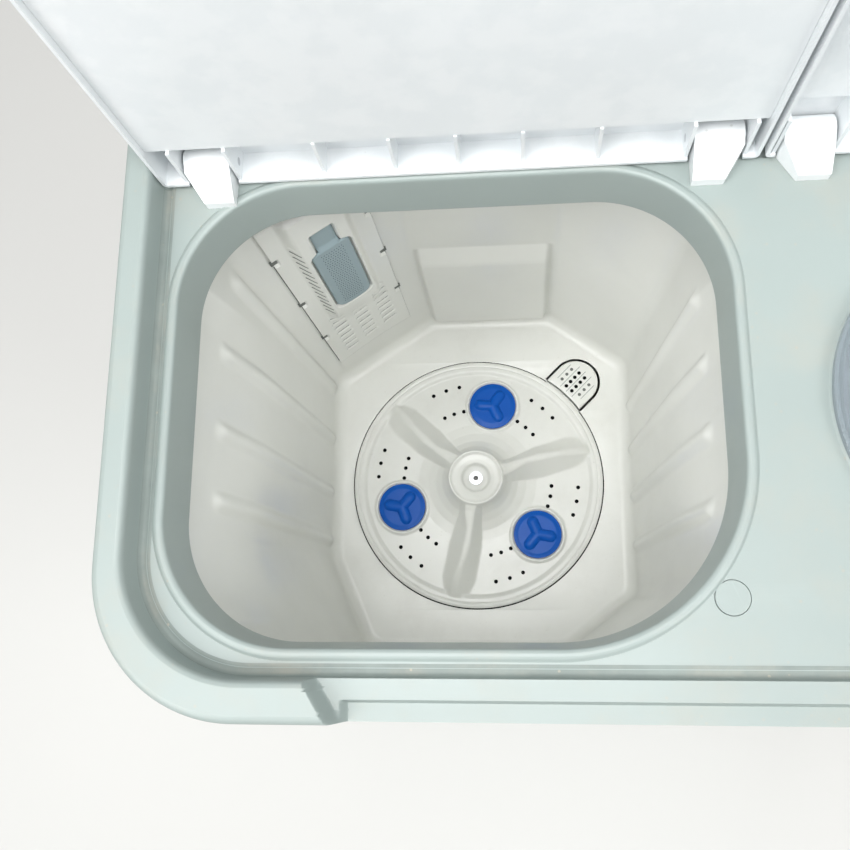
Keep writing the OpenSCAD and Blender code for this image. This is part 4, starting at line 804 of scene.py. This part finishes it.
WALL_LEAN = math.atan2(78, 122)
FRAME_U0, FRAME_U1, FRAME_V1 = 17.5, 118.5, 388
HOOD = 13.6
INSERT = (49.2, 90.2, 206, 325)
TAB = (57.6, 80.4, 357)
NOTCHES = ((18.6, 333), (18.6, 236), (18.6, 141), (117.4, 324), (117.4, 241), (117.4, 150))


def on_wall(u, v, depth):
    """A point on the tub's back left wall: u along it, v up from the floor, depth out into the tub."""
    out = DRAFT * v
    c, s = math.cos(WALL_LEAN), math.sin(WALL_LEAN)
    x = TUB_X0 - out * s + u * c + depth * s
    y = TUB_Y1 - 78 + out * c + u * s - depth * c
    return (x, y, TUB_FLOOR + v)


def box_reach(u, v, u0, u1, v0, v1, r):
    """Signed distance to a rectangle with rounded corners, negative inside."""
    du = abs(u - (u0 + u1) / 2) - (u1 - u0) / 2 + r
    dv = abs(v - (v0 + v1) / 2) - (v1 - v0) / 2 + r
    return math.hypot(max(du, 0), max(dv, 0)) + min(max(du, dv), 0) - r


def insert_reach(u, v):
    body = box_reach(u, v, INSERT[0], INSERT[1], INSERT[2], INSERT[3], 9)
    tab = box_reach(u, v, TAB[0], TAB[1], INSERT[3] - 14, TAB[2], 1.5)
    return min(body, tab)


def frame_depth(u, v):
    """Height of the filter panel over the wall, with its hood, slots and clip notches."""
    plate_z = 4.4
    hood = smooth(34, 45, u) * (1 - smooth(93, 101, u)) * smooth(150, 206, v)
    z = plate_z + (HOOD - plate_z) * hood
    gap = insert_reach(u, v)
    if gap < 1.6:
        z -= 5.5 * (1 - smooth(0.4, 1.6, gap))
    elif gap < 4.0:
        z += 0.7 * (1 - smooth(1.6, 4.0, gap))
    if 34 < u < 45 and 185 < v < 352:
        run = ((v + (u - 34) * 1.3 - 190) % 11.4) / 11.4
        if 36 < u < 43.5:
            z -= 1.3 * smooth(0.30, 0.42, run) * (1 - smooth(0.58, 0.70, run))
    for u0, v0, v1 in ((32.5, 74, 180), (59.5, 80, 166), (86.5, 84, 186)):
        if v0 < v < v1 and u0 < u < u0 + 18:
            run = ((v - v0 - (u - u0) * 0.12) % 13.2) / 13.2
            ends = smooth(u0, u0 + 1.4, u) * (1 - smooth(u0 + 16.6, u0 + 18, u))
            z -= 1.6 * ends * smooth(0.30, 0.40, run) * (1 - smooth(0.58, 0.68, run))
    for nu, nv in NOTCHES:
        d = box_reach(u, v, nu - 4.5, nu + 4.5, nv - 5.5, nv + 5.5, 1)
        if d < 0.6:
            z -= 3.0 * (1 - smooth(-1.0, 0.6, d))
    return max(z, 0.3)


def relief(name, u0, u1, v_low, v1, step_u, step_v, depth, edge_depth):
    """A moulding on the wall whose depth is worked out point by point, with closed edges."""
    nu, nv = int((u1 - u0) / step_u), int((v1 - v_low(0.5)) / step_v)
    points, faces = [], []
    for j in range(-1, nv + 2):
        for i in range(-1, nu + 2):
            ti, tj = min(max(i, 0), nu) / nu, min(max(j, 0), nv) / nv
            u = u0 + (u1 - u0) * ti
            v = v_low(ti) + (v1 - v_low(ti)) * tj
            rim = i < 0 or i > nu or j < 0 or j > nv
            points.append(on_wall(u, v, edge_depth if rim else depth(u, v)))
    wide = nu + 3
    for j in range(nv + 2):
        for i in range(nu + 2):
            a = j * wide + i
            faces.append((a, a + 1, a + wide + 1, a + wide))
    return mesh_piece(name, points, faces)


def insert_depth(u, v):
    """Height of the filter insert over the wall: a crowned body with an eased edge."""
    reach = insert_reach(u, v)
    body = box_reach(u, v, INSERT[0], INSERT[1], INSERT[2], INSERT[3], 9)
    crown = 1.6 * (1 - ((u - 69.7) / 21) ** 2)
    z = HOOD - 0.6 + crown
    if body > -2:
        z -= 3.4 * smooth(-2, 5, body)
    if reach > -2.2:
        z -= 1.4 * smooth(-2.2, -0.2, reach)
    return z


def lint_filter():
    frame_piece = relief("filter_hood", FRAME_U0, FRAME_U1, lambda t: 57 + 5 * t + 5 * math.sin(t * math.pi),
                         FRAME_V1, 0.9, 1.0, frame_depth, 0.45)
    settle(frame_piece, WHITE_TUB, "machine", "tub_white", "lint_filter_frame")
    nu, nv = 48, 168
    u0, u1, v0, v1 = INSERT[0] + 0.3, INSERT[1] - 0.3, INSERT[2] + 0.3, TAB[2]
    points, faces, index = [], [], {}
    for j in range(nv + 1):
        for i in range(nu + 1):
            u, v = u0 + (u1 - u0) * i / nu, v0 + (v1 - v0) * j / nv
            index[i, j] = len(points)
            points.append(on_wall(u, v, insert_depth(u, v)))
    for j in range(nv):
        for i in range(nu):
            u, v = u0 + (u1 - u0) * (i + 0.5) / nu, v0 + (v1 - v0) * (j + 0.5) / nv
            if insert_reach(u, v) < 0:
                faces.append((index[i, j], index[i + 1, j], index[i + 1, j + 1], index[i, j + 1]))
    insert = mesh_piece("filter_insert_moulding", points, faces)
    thick = insert.modifiers.new("Insert wall", "SOLIDIFY")
    thick.thickness = 0.0022
    thick.offset = -1
    settle(insert, SLATE, "filter", "filter_slate", "lint_filter_insert")
    # Flat dark dots just over the insert's face: painted shade standing in for its open holes.
    spots, caps = [], []
    for k in range(27):
        for i in range(9):
            u, v = 58.5 + 2.7 * i + (k % 2) * 0.9, 216 + 3.9 * k
            start = len(spots)
            z = insert_depth(u, v) + 0.12
            spots += [on_wall(u + 0.62 * math.cos(a), v + 0.62 * math.sin(a), z)
                      for a in [math.pi / 4 * m for m in range(8)]]
            caps.append(tuple(range(start, start + 8)))
    mesh = mesh_piece("filter_insert_holes", spots, caps, False)
    settle(mesh, INK_AND_HOLE_SHADE, "filter", "filter_slate")




def filter_shadows():
    """Painted shade: dark strips along the seams around the filter panel, and dark patches on the floors of its
    slots and clip notches.
    """
    points, faces = [], []

    def patch(corners):
        start = len(points)
        points.extend(corners)
        faces.append(tuple(range(start, start + len(corners))))

    def strip(path, wide):
        for (ua, va, da), (ub, vb, db) in zip(path, path[1:]):
            size = math.hypot(ub - ua, vb - va)
            ou, ov = -(vb - va) / size * wide / 2, (ub - ua) / size * wide / 2
            patch([on_wall(ua - ou, va - ov, da), on_wall(ub - ou, vb - ov, db),
                   on_wall(ub + ou, vb + ov, db), on_wall(ua + ou, va + ov, da)])

    low = [(FRAME_U0 + (FRAME_U1 - FRAME_U0) * t, 57 + 5 * t + 5 * math.sin(t * math.pi), 0.7)
           for t in [i / 16 for i in range(17)]]
    strip([(u, v - 0.4, d) for u, v, d in low], 0.7)
    strip([(FRAME_U0 - 0.4, 57, 0.7), (FRAME_U0 - 0.4, 325, 0.7)], 1.0)
    strip([(FRAME_U1 + 0.4, 62, 0.7), (FRAME_U1 + 0.4, 400, 0.7)], 1.0)
    for u0, v0, v1 in ((32.5, 74, 180), (59.5, 80, 166), (86.5, 84, 186)):
        for k in range(int((v1 - v0) / 13.2)):
            v = v0 + 6.3 + 13.2 * k
            strip([(u, v + 0.12 * (u - u0), frame_depth(u, v + 0.12 * (u - u0)) + 0.3)
                   for u in (u0 + 1.6, u0 + 5, u0 + 9, u0 + 13, u0 + 16.4)], 1.7)
    for k in range(1, 14):
        v = 190 + 5.5 + 11.4 * k
        slope = [(u, v - 1.3 * (u - 34)) for u in (36.4, 38.8, 41, 43.2)]
        strip([(u, w, frame_depth(u, w) + 0.3) for u, w in slope], 1.3)
    for nu, nv in NOTCHES:
        z = frame_depth(nu, nv) + 0.25
        patch([on_wall(nu - 3.6, nv - 4.6, z), on_wall(nu + 3.6, nv - 4.6, z),
               on_wall(nu + 3.6, nv + 4.6, z), on_wall(nu - 3.6, nv + 4.6, z)])
    settle(mesh_piece("filter_panel_shadows", points, faces, False), SHADE, "machine", "tub_white")


lint_filter()
filter_shadows()

# ---------------------------------------------------------------- pulsator

# Tables of (distance from the centre, height or width) for the hub and the vanes.
HUB = [(0, 24.6), (6.8, 24.6), (7.6, 25.4), (12, 26.2), (15, 27.6), (16.6, 30.2), (18, 31.4), (22, 32.6),
       (27, 33.4), (28.8, 34.0), (29.5, 35.2), (30.4, 36), (31.6, 36), (32.5, 35), (33, 32.4), (34, 25),
       (37, 17.4), (42, 9.5), (50, 2.8), (60, -1.0), (72, -3), (136, -3), (139, -0.8), (141, 0), (145.4, 0),
       (146, -0.5), (146.8, -0.5), (147.4, 0), (149.6, 0), (151.2, -0.5)]
BLADE_TOP = [(28, 34), (40, 27), (60, 21.5), (85, 17.5), (105, 14.5), (125, 8.5), (138, 2.6), (146, -2.4)]
BLADE_HALF = [(28, 13), (45, 14.5), (60, 17), (78, 19.5), (120, 19.5), (132, 15.5), (140, 10), (146, 0.5)]
BLADE_CREST = [(28, 6.5), (45, 5.6), (62, 3.6), (80, 4.6), (100, 3.4), (120, 4.2), (140, 3.0), (146, 0.5)]
BLADE_ANGLES = (17, 139, 259)
MINI_ANGLES = (78, 198, 318)
MINI_TURNS = (55, 50, 110)
MINI_PITCH, MINI_R = 97, 28.5
MINI_Z = RIM_OF_PULSATOR - 2


def polar_sheet(name, cx, cy, radii, sides, height, skirt):
    """A round moulding whose height is worked out point by point."""
    points = [(cx, cy, height(0.0, 0.0))]
    faces = []
    for k, r in enumerate(radii):
        for i in range(sides):
            a = 2 * math.pi * i / sides
            points.append((cx + r * math.cos(a), cy + r * math.sin(a), height(r, a)))
        start = 1 + k * sides
        for i in range(sides):
            j = (i + 1) % sides
            if k == 0:
                faces.append((0, start + i, start + j))
            else:
                faces.append((start - sides + i, start + i, start + j, start - sides + j))
    for r, z in skirt:
        start = len(points)
        points += [(cx + r * math.cos(2 * math.pi * i / sides), cy + r * math.sin(2 * math.pi * i / sides), z)
                   for i in range(sides)]
        for i in range(sides):
            j = (i + 1) % sides
            faces.append((start - sides + i, start + i, start + j, start - sides + j))
    return mesh_piece(name, points, faces)


def blade_height(r, a, base):
    """Leaf-shaped vane: a narrow wandering crest with a sloping flank on each side."""
    z = base
    for centre in BLADE_ANGLES:
        turn = (a - math.radians(centre) + math.pi) % (2 * math.pi) - math.pi
        if abs(turn) > 1.3:
            continue
        u, v = r * math.cos(turn), r * math.sin(turn)
        if u < 27 or u > 146:
            continue
        half = along(BLADE_HALF, u)
        top = along(BLADE_TOP, u)
        if abs(v) >= half or top <= base:
            continue
        crest = 3.2 * math.sin((u - 30) / 24) * smooth(36, 60, u)
        wide = along(BLADE_CREST, u)
        off = v - crest
        reach = (half - crest if off > 0 else half + crest) - wide
        fall = min(1.0, max(0.0, (abs(off) - wide) / max(reach, 0.5)))
        height = (1 - fall) ** 1.08
        if abs(off) < wide:
            height = 1.0 + 0.07 * (1 - (off / wide) ** 2)
        z = max(z, base + (top - base) * height)
    return z


def pulsator_height(r, a):
    base = along(HUB, r)
    z = blade_height(r, a, base) if r > 27 else base
    for centre in MINI_ANGLES:
        c = math.radians(centre)
        d = math.hypot(r * math.cos(a) - MINI_PITCH * math.cos(c), r * math.sin(a) - MINI_PITCH * math.sin(c))
        if d < 34:
            lip = smooth(34, 32.2, d) if d > 32.2 else 1.0
            z = z + (max(z, 0.2) - z) * lip
            if d < 30.0:
                z = z + (-4.2 - z) * smooth(30.0, 29.2, d)
    return RIM_OF_PULSATOR + z


def pulsator():
    radii = [2, 6, 6.8, 7.6, 9, 12, 13.5, 15, 15.8, 16.6, 17.3, 18, 19, *range(21, 31),
             30.6, 31.2, 31.8, 32.4, 33, 34, 35, 36, 37]
    r = 38.0
    while r < 138:
        radii.append(r)
        r += 1.1
    radii += [138.5, 139.4, 140.2, 141, 142, 143, 144, 145, 145.5, 146, 146.5, 147, 147.5, 148.5,
              149.6, 150.4, 151.2, 151.8]
    body = polar_sheet("pulsator_moulding", PULSATOR_X, PULSATOR_Y, radii, 400, pulsator_height,
                       [(PULSATOR_R, RIM_OF_PULSATOR - 1.4), (PULSATOR_R, RIM_OF_PULSATOR - 13),
                        (PULSATOR_R - 6, RIM_OF_PULSATOR - 13), (PULSATOR_R - 8, RIM_OF_PULSATOR - 8),
                        (9, RIM_OF_PULSATOR - 8)])
    settle(body, WHITE_PULSATOR, "pulsator", "pulsator_white", "pulsator")
    places = []
    for centre in MINI_ANGLES:
        for turn in (-38, -30, -22, 22, 30, 38):
            a = math.radians(centre + turn)
            for r in (122.5, 90.5):
                places.append((PULSATOR_X + r * math.cos(a), PULSATOR_Y + r * math.sin(a), r, a))
    for number, (x, y, r, a) in enumerate(places):
        z = pulsator_height(r, a)
        spot = dots(f"pulsator_hole_{number + 1}", [(x, y)], 2.4, z + 0.25, 0.1, 16)
        settle(spot, DARK, "pulsator", "pulsator_white")

    def head_height(r, a):
        u, v = abs(r * math.cos(a - 0.4)), abs(r * math.sin(a - 0.4))
        cross = min(u, v) < 0.75 and max(u, v) < 3.4
        return RIM_OF_PULSATOR + 25.4 + 2.2 * math.sqrt(max(0.0, 1 - (r / 6.6) ** 2)) - (1.8 if cross else 0)

    head = polar_sheet("pulsator_screw_head", PULSATOR_X, PULSATOR_Y, [0.3 * (i + 1) for i in range(20)], 120,
                       head_height, [(6.2, RIM_OF_PULSATOR + 24.7)])
    settle(head, SCREW, "pulsator", "steel", "pulsator_screw")


def mini_height(turn):
    """Height of a small pulsator: a shallow disc with a rounded ridge of three arms."""
    def height(r, a):
        z = 3.2 - 1.0 * smooth(22, 28, r)
        for k in range(3):
            away = a - math.radians(turn + 120 * k)
            u, v = r * math.cos(away), r * math.sin(away)
            off = math.hypot(max(u - 15.5, 0), v) if u > 0 else r
            if off < 6.4:
                z = max(z, 3.2 + 4.6 * math.sqrt(1 - (off / 6.4) ** 2) * (1 - 0.25 * min(r, 20) / 20))
        return MINI_Z + z
    return height


def mini_pulsators():
    for number, centre in enumerate(MINI_ANGLES):
        a = math.radians(centre)
        cx = PULSATOR_X + MINI_PITCH * math.cos(a)
        cy = PULSATOR_Y + MINI_PITCH * math.sin(a)
        radii = [0.8 * (i + 1) for i in range(34)] + [27.8, 28.3]
        mini = polar_sheet(f"mini_pulsator_cap_{number + 1}", cx, cy, radii, 160, mini_height(MINI_TURNS[number]),
                           [(MINI_R, MINI_Z + 1.6), (MINI_R, MINI_Z), (3.8, MINI_Z), (3.8, MINI_Z - 9)])
        settle(mini, BLUE, f"mini_{number + 1}", "blue_plastic", f"mini_pulsator_{number + 1}")


pulsator()
mini_pulsators()

# -------------------------------------------------------------- console art


def face_point(x, up, out):
    """A point on the console's sloping face: up the slope from its middle, out along its normal."""
    tilt = math.atan((65 - 26) / 58)
    y = CONSOLE_Y + 29 + up * math.cos(tilt) - out * math.sin(tilt)
    z = DECK + 45.5 + up * math.sin(tilt) + out * math.cos(tilt)
    return (x, y, z)


def console_art():
    line = rounded([(26, -25), (BODY_W - 26, -25), (BODY_W - 26, 25), (26, 25)], [9] * 4, 6)
    rings = []
    for shrink, out in ((0.0, 0.02), (0.15, 0.5), (0.6, 0.75), (1.2, 0.75)):
        rings.append([face_point(x + (shrink if x < 380 else -shrink), v * (1 - shrink / 25), out)
                      for x, v in line])
    panel = skin("console_panel", rings, cap_last=True)
    settle(panel, PANEL, "machine", "console_gray")
    points, faces = [], []
    for x in (120, 300, SPIN_X):
        for k in range(13):
            a = math.radians(210 - 240 * k / 12)
            long = 4.2 if k % 3 == 0 else 2.4
            c, s = math.cos(a), math.sin(a)
            start = len(points)
            tip = 22.3 + long * 0.55
            for r, w in ((22.3, -0.45), (tip, -0.45), (tip, 0.45), (22.3, 0.45)):
                points.append(face_point(x + c * r - s * w, (s * r + c * w), 0.95))
            faces.append((start, start + 1, start + 2, start + 3))
    marks = mesh_piece("console_marks", points, faces, False)
    settle(marks, INK_AND_HOLE_SHADE, "machine", "console_gray")


console_art()

# ------------------------------------------------------- stage and camera

floor = bpy.data.objects.new("floor", bpy.data.meshes.new("floor"))
floor.data.from_pydata([(-6, -6, 0), (6, -6, 0), (6, 6, 0), (-6, 6, 0)], [], [(0, 1, 2, 3)])
bpy.context.scene.collection.objects.link(floor)
floor_finish = bpy.data.materials.new("Pale floor")
floor_finish.use_nodes = True
floor_finish.node_tree.nodes["Principled BSDF"].inputs["Base Color"].default_value = tint(214, 214, 211)
floor_finish.node_tree.nodes["Principled BSDF"].inputs["Roughness"].default_value = 0.8
floor.data.materials.append(floor_finish)

world = bpy.data.worlds.new("Soft room")
world.use_nodes = True
world.node_tree.nodes["Background"].inputs["Color"].default_value = (1.0, 1.0, 1.0, 1.0)
world.node_tree.nodes["Background"].inputs["Strength"].default_value = 0.36
bpy.context.scene.world = world


def soft_light(name, place, aim, size, power):
    light = bpy.data.lights.new(name, "AREA")
    light.shape = "RECTANGLE"
    light.size, light.size_y = size
    light.energy = power
    lamp = bpy.data.objects.new(name, light)
    lamp.location = place
    lamp.rotation_euler = (Vector(aim) - Vector(place)).to_track_quat("-Z", "Y").to_euler()
    bpy.context.scene.collection.objects.link(lamp)


soft_light("ceiling_light", (-0.5, -0.4, 3.0), (-0.1, 0, 0.6), (1.8, 1.6), 38)
soft_light("tub_light", (-0.12, -0.12, 2.1), (-0.14, -0.02, 0.4), (0.7, 0.7), 4)
soft_light("key_light", (-1.8, -1.3, 2.8), (-0.1, 0, 0.6), (1.4, 1.4), 40)
soft_light("fill_light", (1.7, -1.1, 2.7), (-0.15, 0, 0.5), (1.5, 1.5), 34)
soft_light("back_light", (0.4, 2.8, 2.0), (0, 0, 0.6), (2.0, 1.4), 24)

camera = bpy.data.objects.new("camera", bpy.data.cameras.new("camera"))
camera.data.sensor_width = 36
camera.data.lens = 36.09
camera.data.shift_x = -0.0129
camera.data.shift_y = 0.0106
camera.data.clip_start = 0.02
camera.location = at(283.4, 65.0, DECK + 566.9)
camera.rotation_euler = (math.radians(12.229), math.radians(5.643), math.radians(0.013))
bpy.context.scene.collection.objects.link(camera)
bpy.context.scene.camera = camera
bpy.context.scene.view_settings.view_transform = "Standard"
